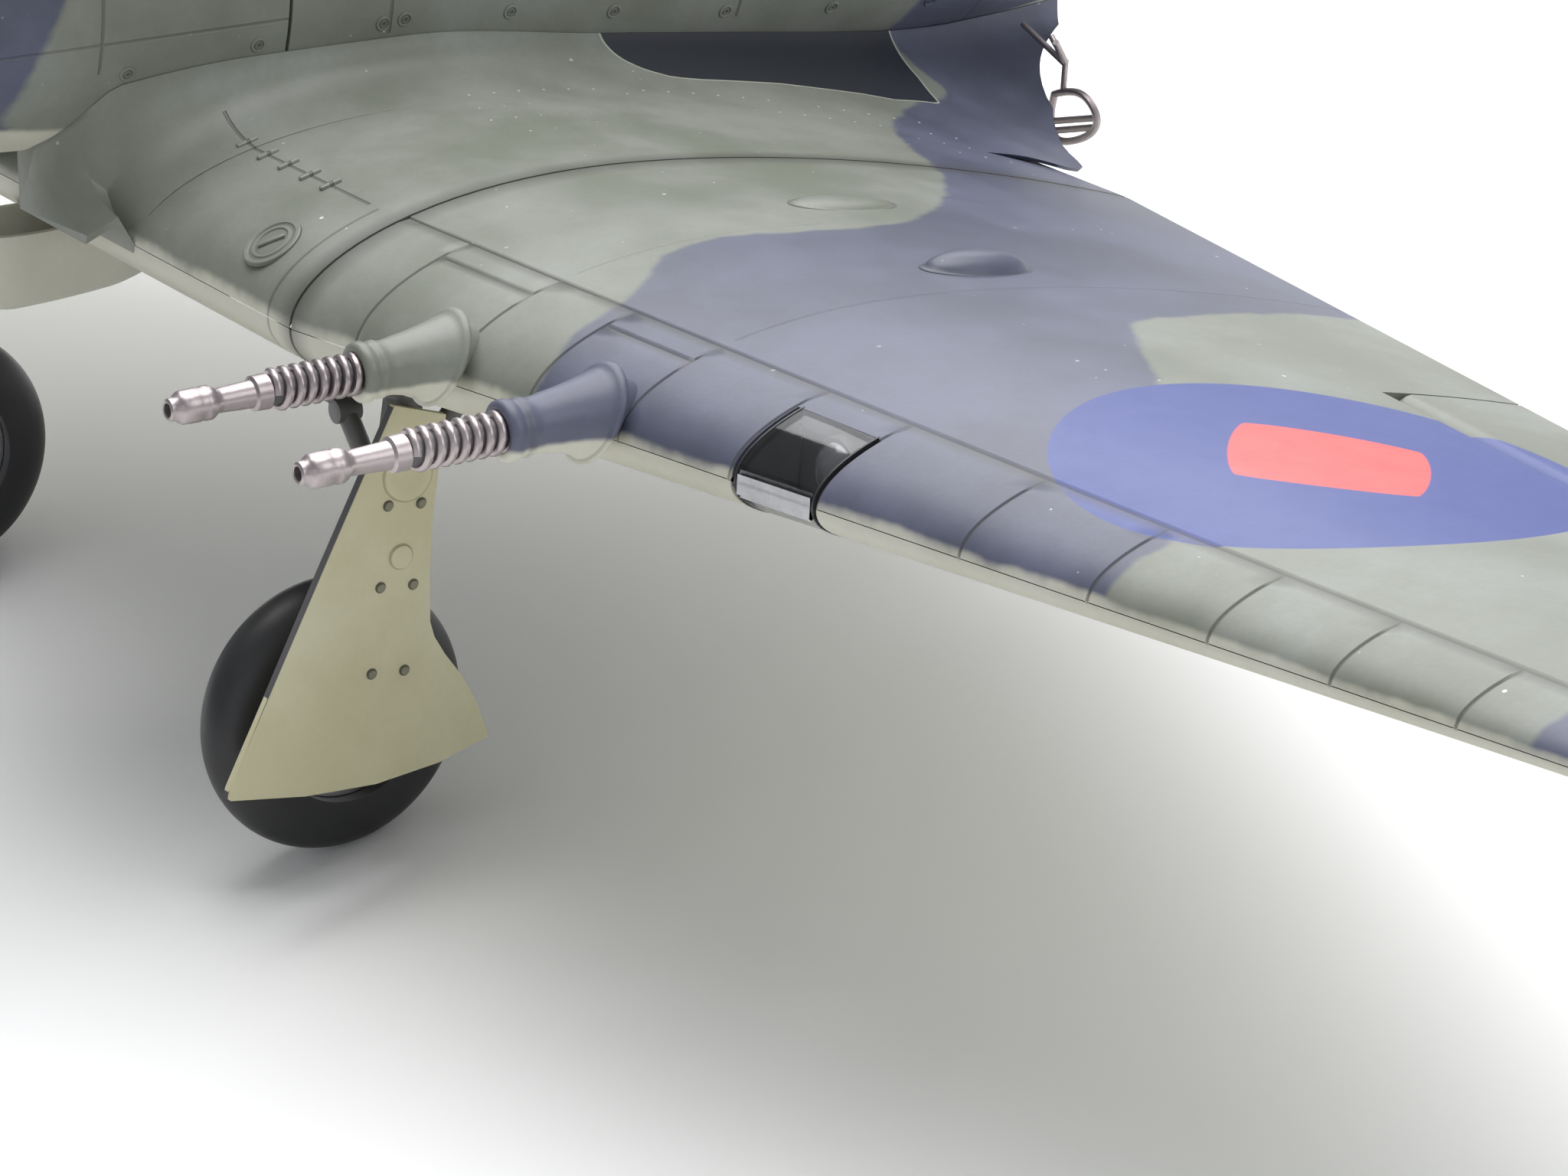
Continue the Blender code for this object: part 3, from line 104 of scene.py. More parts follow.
bpy.ops.mesh.primitive_plane_add(size=6.0, location=(0.0, 0.0, 0.0))
floor = bpy.context.object
floor.name = "studio_floor"
floor_paint = bpy.data.materials.new("studio_floor")
floor_paint.use_nodes = True
floor_shader = floor_paint.node_tree.nodes["Principled BSDF"]
floor_shader.inputs["Base Color"].default_value = (0.95, 0.95, 0.95, 1.0)
floor_shader.inputs["Roughness"].default_value = 0.55
floor.data.materials.append(floor_paint)

# --- Wing shape ----------------------------------------------------------------------------------
# The wing's section, taper and incidence are those of the moulded skins in the frame. Every piece
# that lies on the wing takes its place from these functions.
ROOT_LEADING, ROOT_CHORD, WING_DROP = 64.0, 76.4, -21.9
JOINT_X, HALF_SPAN, TIP_START = 41.8, 190.5, 165.0
LEADING_SWEEP, TRAILING_SWEEP = math.tan(math.radians(5.15)), math.tan(math.radians(14.75))
DIHEDRAL, INCIDENCE = math.tan(math.radians(3.35)), math.radians(2.0)
CAMBER, CAMBER_PLACE = 0.022, 0.38
GAP, WALL = 0.3, 0.8
SEAM = 0.03                             # half the gap between upper and lower skins at the nose


def wing_line(x):
    """Leading edge, chord and height of the chord line at a distance from the middle."""
    out = np.maximum(0.0, np.abs(x) - JOINT_X)
    leading = ROOT_LEADING + out * LEADING_SWEEP
    chord = ROOT_LEADING + ROOT_CHORD - out * TRAILING_SWEEP - leading
    past = np.clip((np.abs(x) - TIP_START) / (HALF_SPAN - TIP_START), 0.0, 1.0)
    rounding = np.sqrt(np.maximum(0.0, 1.0 - past**2))
    return leading + 0.45 * chord * (1.0 - rounding), chord * rounding, WING_DROP + out * DIHEDRAL


def half_height(x, c):
    out = np.clip((np.abs(x) - JOINT_X) / (HALF_SPAN - JOINT_X), 0.0, 1.0)
    c = np.clip(c, 0.0, 1.0)
    shape = 0.2969 * np.sqrt(c) - 0.126 * c - 0.3516 * c**2 + 0.2843 * c**3 - 0.1036 * c**4
    return 5 * (0.19 - 0.068 * out) * wing_line(x)[1] * shape + 0.35 * c + SEAM


def wing_point(x, c, lift):
    """Points at part c of the chord, lifted off the mean line, as an array of (x, y, z)."""
    x, c, lift = np.broadcast_arrays(*(np.asarray(v, float) for v in (x, c, lift)))
    leading, chord, height = wing_line(x)
    fore = CAMBER / CAMBER_PLACE**2 * (2 * CAMBER_PLACE * c - c * c)
    aft = CAMBER / (1 - CAMBER_PLACE)**2 * (1 - 2 * CAMBER_PLACE + 2 * CAMBER_PLACE * c - c * c)
    up = np.where(c < CAMBER_PLACE, fore, aft) * chord + lift
    along = (c - 0.25) * chord
    turn_c, turn_s = math.cos(INCIDENCE), math.sin(INCIDENCE)
    return np.stack([x, leading + 0.25 * chord + along * turn_c + up * turn_s,
                     height - along * turn_s + up * turn_c], -1)


def wing_surface(x, c, side=1, proud=0.0):
    return wing_point(x, c, side * (half_height(x, c) + proud))


def wing_spot(x, y, side=1, proud=0.0):
    """The point on the wing's skin above or below a place in plan."""
    leading, chord, _ = wing_line(x)
    point = wing_surface(x, (y - leading) / chord, side, proud)
    return Vector((point[0], y, point[2]))


# --- Settling ------------------------------------------------------------------------------------
# How a finished piece joins the model: its place goes into its mesh, it takes its material and
# it rides on the body that carries the real one.


def mesh_piece(name, points, faces):
    """A new mesh object from an array of points in the datum and a list of faces."""
    data = bpy.data.meshes.new(name)
    data.from_pydata([tuple(p) for p in np.asarray(points, float).reshape(-1, 3)], [], faces)
    data.update()
    made = bpy.data.objects.new(name, data)
    bpy.context.collection.objects.link(made)
    return made


def only(*pieces):
    bpy.ops.object.select_all(action="DESELECT")
    for piece in pieces:
        piece.select_set(True)
    bpy.context.view_layer.objects.active = pieces[0]


def cut(piece, tool, operation="DIFFERENCE", keep_tool=False):
    """Cut a piece with a tool, or weld it on with UNION, and apply the result."""
    step = piece.modifiers.new("cut", "BOOLEAN")
    step.operation, step.solver, step.object = operation, "EXACT", tool
    only(piece)
    bpy.ops.object.modifier_apply(modifier=step.name)
    if not keep_tool:
        bpy.data.objects.remove(tool, do_unlink=True)
    return piece


def weld(name, *pieces):
    """Join loose pieces into one object."""
    only(*pieces)
    bpy.ops.object.join()
    pieces[0].name = name
    return pieces[0]


def smooth(piece, angle=35.0):
    only(piece)
    bpy.ops.object.shade_smooth_by_angle(angle=math.radians(angle))
    return piece


def settle(piece, body, finish, slot, *replaced):
    """Put a finished piece in its place on a body, with its finish."""
    piece.data.transform(STANCE @ Matrix.Scale(MM, 4) @ piece.matrix_world)
    piece.matrix_world = Matrix.Identity(4)
    if finish is not None:
        piece.data.materials.clear()
        piece.data.materials.append(finish)
    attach(piece, body)
    if replaced:
        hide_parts(*replaced)
    return piece


def grid_faces(rows, columns, round_trip=False, flip=False):
    """Quads between the points of a grid, in rows."""
    faces = []
    last = columns if round_trip else columns - 1
    for r in range(rows - 1):
        for k in range(last):
            a, b = r * columns + k, r * columns + (k + 1) % columns
            face = (a, b, b + columns, a + columns)
            faces.append(face[::-1] if flip else face)
    return faces


def loft(name, rings, caps=True):
    """A closed skin through rings of equal length, which face outwards."""
    rings = np.asarray(rings, float)
    rows, columns = rings.shape[:2]
    faces = grid_faces(rows, columns, round_trip=True)
    if caps:
        faces += [tuple(range(columns))[::-1], tuple(range((rows - 1) * columns, rows * columns))]
    made = mesh_piece(name, rings, faces)
    only(made)
    bpy.ops.object.mode_set(mode="EDIT")
    bpy.ops.mesh.select_all(action="SELECT")
    bpy.ops.mesh.remove_doubles(threshold=0.0005)
    bpy.ops.mesh.normals_make_consistent(inside=False)
    bpy.ops.object.mode_set(mode="OBJECT")
    return made


def prism(name, outline, low, high, axis="Z"):
    """A flat outline drawn out along one axis."""
    place = {"Z": lambda a, b, h: (a, b, h), "X": lambda a, b, h: (h, a, b),
             "Y": lambda a, b, h: (a, h, b)}[axis]
    return loft(name, [[place(a, b, h) for a, b in outline] for h in (low, high)])


def rod(name, start, end, radius, end_radius=None, sides=24, bevel=0.0):
    """A round bar or cone between two points, from a cylinder or cone primitive."""
    start, end = Vector(start), Vector(end)
    bpy.ops.object.select_all(action="DESELECT")
    bpy.ops.mesh.primitive_cone_add(vertices=sides, radius1=radius,
                                    radius2=radius if end_radius is None else end_radius,
                                    depth=(end - start).length)
    made = bpy.context.object
    made.name = name
    turn = (end - start).to_track_quat("Z", "Y").to_matrix().to_4x4()
    made.data.transform(Matrix.Translation((start + end) / 2) @ turn)
    if bevel:
        edge = made.modifiers.new("edge", "BEVEL")
        edge.width, edge.segments, edge.limit_method = bevel, 2, "ANGLE"
        only(made)
        bpy.ops.object.modifier_apply(modifier=edge.name)
    return made


def box(name, low, high, bevel=0.0):
    """A block between two corners, from a cube primitive, with its edges rounded."""
    bpy.ops.object.select_all(action="DESELECT")
    bpy.ops.mesh.primitive_cube_add(size=1.0)
    made = bpy.context.object
    made.name = name
    size = [b - a for a, b in zip(low, high)]
    middle = [(a + b) / 2 for a, b in zip(low, high)]
    made.data.transform(Matrix.Translation(middle) @ Matrix.Diagonal((*size, 1.0)))
    if bevel:
        edge = made.modifiers.new("edge", "BEVEL")
        edge.width, edge.segments = bevel, 2
        only(made)
        bpy.ops.object.modifier_apply(modifier=edge.name)
    return made


def turned(name, profile, centre, axis="Y", sides=48, closed=False):
    """Spin a profile of (distance along the axis, radius) about an axis through centre."""
    bpy.ops.object.select_all(action="DESELECT")
    made = mesh_piece(name, [(r, a, 0.0) for a, r in profile], [])
    only(made)
    bpy.ops.object.mode_set(mode="EDIT")
    shape = bmesh.from_edit_mesh(made.data)
    shape.verts.ensure_lookup_table()
    count = len(profile)
    for k in range(count if closed else count - 1):
        shape.edges.new((shape.verts[k], shape.verts[(k + 1) % count]))
    bmesh.update_edit_mesh(made.data)
    bpy.ops.mesh.select_all(action="SELECT")
    bpy.ops.mesh.spin(steps=sides, angle=2 * math.pi, center=(0, 0, 0), axis=(0, 1, 0))
    bpy.ops.mesh.select_all(action="SELECT")
    bpy.ops.mesh.remove_doubles(threshold=0.0005)
    bpy.ops.mesh.normals_make_consistent(inside=False)
    bpy.ops.object.mode_set(mode="OBJECT")
    turn = {"Y": Matrix.Identity(4), "X": Matrix.Rotation(-math.pi / 2, 4, "Z"),
            "Z": Matrix.Rotation(math.pi / 2, 4, "X")}[axis]
    made.data.transform(Matrix.Translation(centre) @ turn)
    return made


def wire(name, points, radius, cyclic=False, resolution=3, order=4):
    """A round wire along a smooth curve through points, as a mesh."""
    data = bpy.data.curves.new(name, "CURVE")
    data.dimensions = "3D"
    line = data.splines.new("NURBS" if order else "POLY")
    line.points.add(len(points) - 1)
    for spot, point in zip(line.points, points):
        spot.co = (*point, 1.0)
    if order:
        line.order_u, line.use_endpoint_u = min(order, len(points)), True
    line.use_cyclic_u = cyclic
    line.resolution_u = 6
    data.bevel_depth, data.bevel_resolution, data.use_fill_caps = radius, resolution, True
    made = bpy.data.objects.new(name, data)
    bpy.context.collection.objects.link(made)
    only(made)
    bpy.ops.object.convert(target="MESH")
    return bpy.context.object


# --- Airframe paint ------------------------------------------------------------------------------
# Moulded foam-and-plastic skins sprayed in two matt camouflage colours over a pale underside. The
# patches have soft sprayed edges, panel lines hold a dark wash, and a little pale dust lies on top.
# The same dark colour is painted shade round the feet and in the hollows of the small round details.
GREEN, GREEN_FADED = (0.165, 0.178, 0.143), (0.245, 0.257, 0.232)
GREY, GREY_FADED = (0.070, 0.076, 0.110), (0.115, 0.122, 0.180)
UNDERSIDE, UNDERSIDE_FADED = (0.50, 0.49, 0.40), (0.58, 0.575, 0.50)
# Dark wash of the panel lines, and painted shade at the feet and in the hollows of small details.
LINE_WASH_AND_SHADE = (0.045, 0.043, 0.038)
MARK_BLUE, MARK_RED = (0.028, 0.048, 0.215), (0.74, 0.055, 0.060)
WALKWAY = (0.020, 0.023, 0.032)

# Outlines of the grey patches: distance round the airframe from its middle line, and station.
# Inboard of the wing the distance falls, to below zero over the fuselage's spine.
PATCHES = (
    ((72, 58), (70.6, 67), (69, 71), (67.7, 77), (63.2, 82.6), (62.2, 88), (63.2, 96), (62, 103),
     (58, 109), (53, 114), (47, 118.4), (41, 121.7), (33, 125), (24, 130), (18.5, 136), (16, 141),
     (13, 142), (6, 139), (-4, 134), (-14, 129), (-34, 127), (-36, 158), (-12, 166), (6, 174),
     (16, 178), (30, 172), (60, 158), (82, 150), (83, 130), (85.6, 117.4), (87.6, 110),
     (89.2, 104), (92.4, 101.2), (99, 97.2), (106, 93), (115, 88), (122.5, 82), (127, 77),
     (126.8, 73.5), (128, 66), (129, 58)),
    ((-36, 72), (-12, 66), (4, 61), (8, 59), (10.2, 57.4), (12.5, 54.7), (17, 48), (19, 38),
     (12, 30), (-4, 33), (-36, 36)),
    ((-66, 206), (-22, 200), (-6, 206), (6, 213), (15, 222), (17, 238), (10, 250), (-4, 250),
     (-18, 246), (-66, 240)),
    ((9, 244), (16, 254), (14, 266), (19, 276), (17, 300), (44, 304), (46, 240), (24, 236)),
    ((168, 56), (161, 74), (164, 90), (157, 104), (161, 122), (204, 124), (204, 56)),
    ((-70, 268), (-44, 270), (-30, 276), (-26, 286), (-34, 300), (-42, 316), (-70, 316)),
)


def rounded(outline, steps=8):
    """A smooth closed curve through the corners of an outline."""
    p = np.array(outline, float)
    before, after, later = np.roll(p, 1, 0), np.roll(p, -1, 0), np.roll(p, -2, 0)
    curve = []
    for t in np.linspace(0.0, 1.0, steps, endpoint=False):
        curve.append(0.5 * (2 * p + (after - before) * t
                            + (2 * before - 5 * p + 4 * after - later) * t**2
                            + (3 * p - before - 3 * after + later) * t**3))
    return np.stack(curve, 1).reshape(-1, 2)


def inside_distance(points, outline):
    """Distance from each point to a closed outline, positive inside it."""
    a, b = outline, np.roll(outline, -1, 0)
    best = np.full(len(points), 1e9)
    inside = np.zeros(len(points), bool)
    for p, q in zip(a, b):
        run = q - p
        share = np.clip(((points - p) @ run) / (run @ run + 1e-12), 0.0, 1.0)
        away = points - (p + share[:, None] * run)
        best = np.minimum(best, np.hypot(away[:, 0], away[:, 1]))
        crosses = (p[1] > points[:, 1]) != (q[1] > points[:, 1])
        reach = p[0] + (points[:, 1] - p[1]) / (q[1] - p[1] + 1e-12) * run[0]
        inside ^= crosses & (points[:, 0] < reach)
    return np.where(inside, best, -best)


PATCH_CURVES = [rounded(outline) for outline in PATCHES]


def float_layer(piece, name, values):
    layer = piece.data.attributes.get(name) or piece.data.attributes.new(name, "FLOAT", "POINT")
    layer.data.foreach_set("value", np.asarray(values, np.float32))


def datum_points(piece):
    return np.array([v.co for v in piece.data.vertices], float).reshape(-1, 3)


def paint_layers(piece, under, lines=None):
    """Store how far each point is inside a grey patch and the underside, and in a panel line."""
    points = datum_points(piece)
    round_body = np.abs(points[:, 0]) - np.maximum(0.0, points[:, 2] + 12.0)
    plan = np.stack([round_body, points[:, 1]], 1)
    float_layer(piece, "patch", np.max([inside_distance(plan, c) for c in PATCH_CURVES], 0))
    float_layer(piece, "under", under(points) if callable(under) else np.full(len(points), under))
    if lines is not None:
        float_layer(piece, "line", lines(points))
    return piece


def new_group(name, inputs, outputs):
    """A shader node group with named sockets, and its two end nodes."""
    tree = bpy.data.node_groups.new(name, "ShaderNodeTree")
    for direction, sockets in (("INPUT", inputs), ("OUTPUT", outputs)):
        for label, kind, *default in sockets:
            made = tree.interface.new_socket(name=label, in_out=direction,
                                             socket_type="NodeSocket" + kind)
            if default:
                made.default_value = default[0]
    return tree, tree.nodes.new("NodeGroupInput"), tree.nodes.new("NodeGroupOutput")


def node(tree, kind, values=(), links=(), **settings):
    """Add a node: its settings, then its sockets' values, then what feeds them."""
    made = tree.nodes.new("ShaderNode" + kind)
    for key, value in settings.items():
        setattr(made, key, value)
    for key, value in dict(values).items():
        made.inputs[key].default_value = value
    for key, source in dict(links).items():
        tree.links.new(source, made.inputs[key])
    return made


def math_node(tree, operation, a, b=None, c=None):
    """A Math node whose inputs are sockets or numbers."""
    made = tree.nodes.new("ShaderNodeMath")
    made.operation = operation
    for index, value in enumerate((a, b, c)):
        if value is None:
            continue
        if isinstance(value, (int, float)):
            made.inputs[index].default_value = value
        else:
            tree.links.new(value, made.inputs[index])
    return made.outputs[0]


def ramp(tree, source, low, high):
    """0 below low, 1 above high, eased between."""
    made = node(tree, "MapRange", {1: low, 2: high}, {0: source}, interpolation_type="SMOOTHSTEP")
    return made.outputs[0]


def blend_colour(tree, amount, a, b, mode="MIX"):
    """A colour mix whose ends are sockets or colours."""
    made = tree.nodes.new("ShaderNodeMix")
    made.data_type, made.blend_type = "RGBA", mode
    if isinstance(amount, (int, float)):
        made.inputs[0].default_value = amount
    else:
        tree.links.new(amount, made.inputs[0])
    for index, value in ((6, a), (7, b)):
        if isinstance(value, tuple):
            made.inputs[index].default_value = (*value, 1.0)
        else:
            tree.links.new(value, made.inputs[index])
    return made.outputs[2]


def noise(tree, place, scale, detail=3.0, roughness=0.55, output="Factor"):
    made = node(tree, "TexNoise", {"Scale": scale, "Detail": detail, "Roughness": roughness},
                {"Vector": place})
    return made.outputs[0] if output == "Factor" else made.outputs[1]


def specks(tree, place, scale, size, share):
    """Scattered dots: one cell in so many holds a dot of a given size."""
    cells = node(tree, "TexVoronoi", {"Scale": scale}, {"Vector": place})
    near = math_node(tree, "LESS_THAN", cells.outputs["Distance"], size)
    red = node(tree, "SeparateColor", (), {0: cells.outputs["Color"]})
    chosen = math_node(tree, "LESS_THAN", red.outputs[0], share)
    return math_node(tree, "MULTIPLY", near, chosen)


def mottling_group():
    """Fading, fine grain and settled dust, for every painted surface."""
    tree, start, end = new_group(
        "mottled_finish",
        [("Place", "Vector"), ("Colour", "Color"), ("Faded", "Color"), ("Fade", "Float", 0.5),
         ("Grain", "Float", 0.5), ("Dust", "Float", 0.5)],
        [("Colour", "Color"), ("Roughness", "Float"), ("Height", "Float")])
    place = start.outputs["Place"]
    broad = noise(tree, place, 0.055, 5.0, 0.6)
    faded = math_node(tree, "MULTIPLY", ramp(tree, broad, 0.36, 0.68), start.outputs["Fade"])
    colour = blend_colour(tree, faded, start.outputs["Colour"], start.outputs["Faded"])
    fine = noise(tree, place, 2.2, 4.0, 0.7)
    shade = math_node(tree, "MULTIPLY_ADD", math_node(tree, "SUBTRACT", fine, 0.5),
                      math_node(tree, "MULTIPLY", start.outputs["Grain"], 0.32), 1.0)
    grey = node(tree, "CombineColor", (), {0: shade, 1: shade, 2: shade})
    colour = blend_colour(tree, 1.0, colour, grey.outputs[0], "MULTIPLY")
    drifts = ramp(tree, noise(tree, place, 0.03, 2.0), 0.42, 0.62)
    dots = math_node(tree, "MAXIMUM", specks(tree, place, 0.34, 0.055, 0.28),
                     specks(tree, place, 0.8, 0.075, 0.10))
    dust = math_node(tree, "MULTIPLY", math_node(tree, "MULTIPLY", dots, drifts),
                     start.outputs["Dust"])
    colour = blend_colour(tree, dust, colour, (0.72, 0.72, 0.68))
    rough = math_node(tree, "MULTIPLY_ADD", broad, 0.16, 0.36)
    height = math_node(tree, "MULTIPLY", fine, math_node(tree, "MULTIPLY",
                                                         start.outputs["Grain"], 0.02))
    for label, value in (("Colour", colour), ("Roughness", rough), ("Height", height)):
        tree.links.new(value, end.inputs[label])
    return tree


MOTTLING = mottling_group()


def use_group(tree, group, values, links):
    made = tree.nodes.new("ShaderNodeGroup")
    made.node_tree = group
    for key, value in values.items():
        made.inputs[key].default_value = (*value, 1.0) if isinstance(value, tuple) else value
    for key, source in links.items():
        tree.links.new(source, made.inputs[key])
    return made


def new_material(name, metallic=0.0):
    """A material with its shader, and the place of each point in the datum, in millimetres."""
    made = bpy.data.materials.new(name)
    made.use_nodes = True
    tree = made.node_tree
    shader = tree.nodes["Principled BSDF"]
    shader.inputs["Metallic"].default_value = metallic
    spot = node(tree, "TexCoord").outputs["Object"]
    turned_place = node(tree, "Mapping", {"Rotation": (PITCH, 0.0, 0.0), "Scale": (1000,) * 3},
                        {"Vector": spot}, vector_type="POINT")
    back = Matrix.Rotation(PITCH, 3, "X") @ Vector((0.0, 152.498, -77.379))
    turned_place.inputs["Location"].default_value = back
    return made, tree, shader, turned_place.outputs[0]


def raise_bump(tree, shader, height, distance=0.001, strength=1.0):
    bump = node(tree, "Bump", {"Strength": strength, "Distance": distance}, {"Height": height})
    tree.links.new(bump.outputs[0], shader.inputs["Normal"])


def layer_value(tree, name):
    return node(tree, "Attribute", attribute_name=name).outputs["Fac"]


def seam_share(tree, place, seams):
    """1 along straight panel lines: (axis, place on it, other axis, from, to, how strong)."""
    spot = node(tree, "SeparateXYZ", (), {0: place}).outputs
    values = [math_node(tree, "ABSOLUTE", spot[0]), spot[1], spot[2]]
    total = None
    for axis, at, other, low, high, strength in seams:
        away = math_node(tree, "ABSOLUTE", math_node(tree, "SUBTRACT", values[axis], at))
        share = ramp(tree, away, 0.17, 0.07)
        inside = math_node(tree, "MULTIPLY", math_node(tree, "GREATER_THAN", values[other], low),
                           math_node(tree, "LESS_THAN", values[other], high))
        share = math_node(tree, "MULTIPLY", math_node(tree, "MULTIPLY", share, inside), strength)
        total = share if total is None else math_node(tree, "MAXIMUM", total, share)
    return total


def airframe_finish(name, marked=False, seams=(), walkway=False):
    made, tree, shader, place = new_material(name)
    wobble = math_node(tree, "SUBTRACT", noise(tree, place, 0.35, 2.0), 0.5)
    upper = {"Fade": 0.9, "Grain": 0.55, "Dust": 0.8}
    green = use_group(tree, MOTTLING, {"Colour": GREEN, "Faded": GREEN_FADED, **upper},
                      {"Place": place})
    grey = use_group(tree, MOTTLING, {"Colour": GREY, "Faded": GREY_FADED, **upper},
                     {"Place": place})
    under = use_group(tree, MOTTLING, {"Colour": UNDERSIDE, "Faded": UNDERSIDE_FADED,
                                       "Fade": 0.7, "Grain": 0.3, "Dust": 0.0}, {"Place": place})
    patch_edge = math_node(tree, "MULTIPLY_ADD", wobble, 1.2, layer_value(tree, "patch"))
    colour = blend_colour(tree, ramp(tree, patch_edge, -0.4, 0.4), green.outputs["Colour"],
                          grey.outputs["Colour"])
    if marked:
        colour = wing_mark(tree, place, colour)
    sides = node(tree, "SeparateXYZ", (), {0: place})
    ripple = math_node(tree, "SINE", math_node(tree, "MULTIPLY", sides.outputs[0], 0.42))
    under_edge = math_node(tree, "MULTIPLY_ADD", ripple, 0.12,
                           math_node(tree, "MULTIPLY_ADD", wobble, 0.7,
                                     layer_value(tree, "under")))
    colour = blend_colour(tree, ramp(tree, under_edge, -0.35, 0.35), colour,
                          under.outputs["Colour"])
    # The line layer holds the panel lines' dark wash and painted shade at the feet and in the hollows of
    # small details.
    wash_and_shade = layer_value(tree, "line")
    height = green.outputs["Height"]
    if seams:
        share = seam_share(tree, place, seams)
        wash_and_shade = math_node(tree, "MAXIMUM", wash_and_shade, share)
        height = math_node(tree, "MULTIPLY_ADD", share, -0.12, height)
    wash_and_shade = math_node(tree, "MULTIPLY", wash_and_shade, 0.62)
    colour = blend_colour(tree, wash_and_shade, colour, LINE_WASH_AND_SHADE)
    if walkway:
        reach = layer_value(tree, "walk")
        colour = blend_colour(tree, ramp(tree, reach, -0.22, -0.12), colour, (0.42, 0.44, 0.36))
        colour = blend_colour(tree, ramp(tree, reach, -0.06, 0.04), colour, WALKWAY)
    tree.links.new(colour, shader.inputs["Base Color"])
    tree.links.new(green.outputs["Roughness"], shader.inputs["Roughness"])
    raise_bump(tree, shader, height)
    return made


def wing_mark(tree, place, colour):
    """A plain racing mark on each wing: a blue disc that holds a red rounded lozenge."""
    spot = node(tree, "SeparateXYZ", (), {0: place})
    across = math_node(tree, "SUBTRACT", math_node(tree, "ABSOLUTE", spot.outputs[0]), 121.7)
    along = math_node(tree, "SUBTRACT", spot.outputs[1], 93.6)
    span = node(tree, "CombineXYZ", (), {0: across, 1: along})
    reach = node(tree, "VectorMath", (), {0: span.outputs[0]}, operation="LENGTH").outputs["Value"]
    disc = ramp(tree, reach, 17.62, 17.5)
    sides = [math_node(tree, "POWER", math_node(tree, "DIVIDE", math_node(tree, "ABSOLUTE", v), size),
                       1.2) for v, size in ((across, 8.4), (along, 7.6))]
    lozenge = ramp(tree, math_node(tree, "ADD", *sides), 1.02, 0.98)
    worn = noise(tree, place, 0.4, 5.0, 0.65)
    blue = blend_colour(tree, worn, MARK_BLUE, (0.055, 0.080, 0.28))
    red = blend_colour(tree, worn, MARK_RED, (0.85, 0.13, 0.12))
    return blend_colour(tree, disc, colour, blend_colour(tree, lozenge, blue, red))


WING_SEAMS = ((1, 73.4, 0, 15.0, 37.2, 0.8), (0, 38.5, 1, 62.0, 73.4, 0.7),
              (0, 80.2, 1, 76.8, 137.0, 0.3), (0, 61.3, 1, 76.0, 97.0, 0.15))
BODY_SEAMS = ((1, 48.0, 2, -12.0, 14.0, 0.7), (1, 64.0, 2, -9.0, 14.0, 0.7),
              (2, -6.6, 1, 48.0, 79.7, 0.5), (2, 7.6, 1, 26.0, 79.7, 0.7),
              (1, 88.7, 2, -9.0, 5.0, 0.8), (1, 122.0, 2, -12.5, 15.0, 0.8),
              (1, 149.0, 2, -18.0, 24.0, 0.6), (1, 168.0, 2, -16.0, 24.0, 0.4),
              (1, 250.0, 2, -6.0, 14.0, 0.5))
AIRFRAME = airframe_finish("airframe_camouflage", seams=WING_SEAMS[:2])
WING_TOP = airframe_finish("wing_top_camouflage", marked=True, seams=WING_SEAMS)
BODY_PAINT = airframe_finish("fuselage_camouflage", seams=BODY_SEAMS)
FILLET_PAINT = airframe_finish("fillet_camouflage", seams=WING_SEAMS[:1], walkway=True)


def plain_finish(name, colour, faded, fade=0.6, grain=0.4, dust=0.0, metallic=0.0, gloss=0.0,
                 coat=0.0):
    """A mottled finish of one colour. Gloss lowers its roughness all over."""
    made, tree, shader, place = new_material(name, metallic)
    mottled = use_group(tree, MOTTLING, {"Colour": colour, "Faded": faded, "Fade": fade,
                                         "Grain": grain, "Dust": dust}, {"Place": place})
    # The line layer darkens panel lines as a wash, and the feet and hollows of small details as painted
    # shade.
    wash_and_shade = math_node(tree, "MULTIPLY", layer_value(tree, "line"), 0.6)
    tree.links.new(blend_colour(tree, wash_and_shade, mottled.outputs["Colour"], LINE_WASH_AND_SHADE),
                   shader.inputs["Base Color"])
    rough = math_node(tree, "SUBTRACT", mottled.outputs["Roughness"], gloss)
    tree.links.new(rough, shader.inputs["Roughness"])
    if coat:
        shader.inputs["Coat Weight"].default_value = coat
    raise_bump(tree, shader, mottled.outputs["Height"])
    return made


PALE = plain_finish("underside_paint", UNDERSIDE, UNDERSIDE_FADED, 0.7, 0.3)
RIVET = plain_finish("dusty_rivet", (0.42, 0.42, 0.38), (0.52, 0.52, 0.48), 0.7, 0.4)
LAMP = plain_finish("lamp_glass", (0.10, 0.10, 0.105), (0.16, 0.16, 0.165), 0.5, 0.1, 0.0, 0.3, 0.28)
COVER_BOLT = plain_finish("cover_bolt", (0.20, 0.19, 0.13), (0.3, 0.28, 0.2), 0.6, 0.5)
CORE = plain_finish("radiator_core", (0.16, 0.13, 0.09), (0.26, 0.22, 0.16), 0.8, 1.0, 0.0, 0.7)

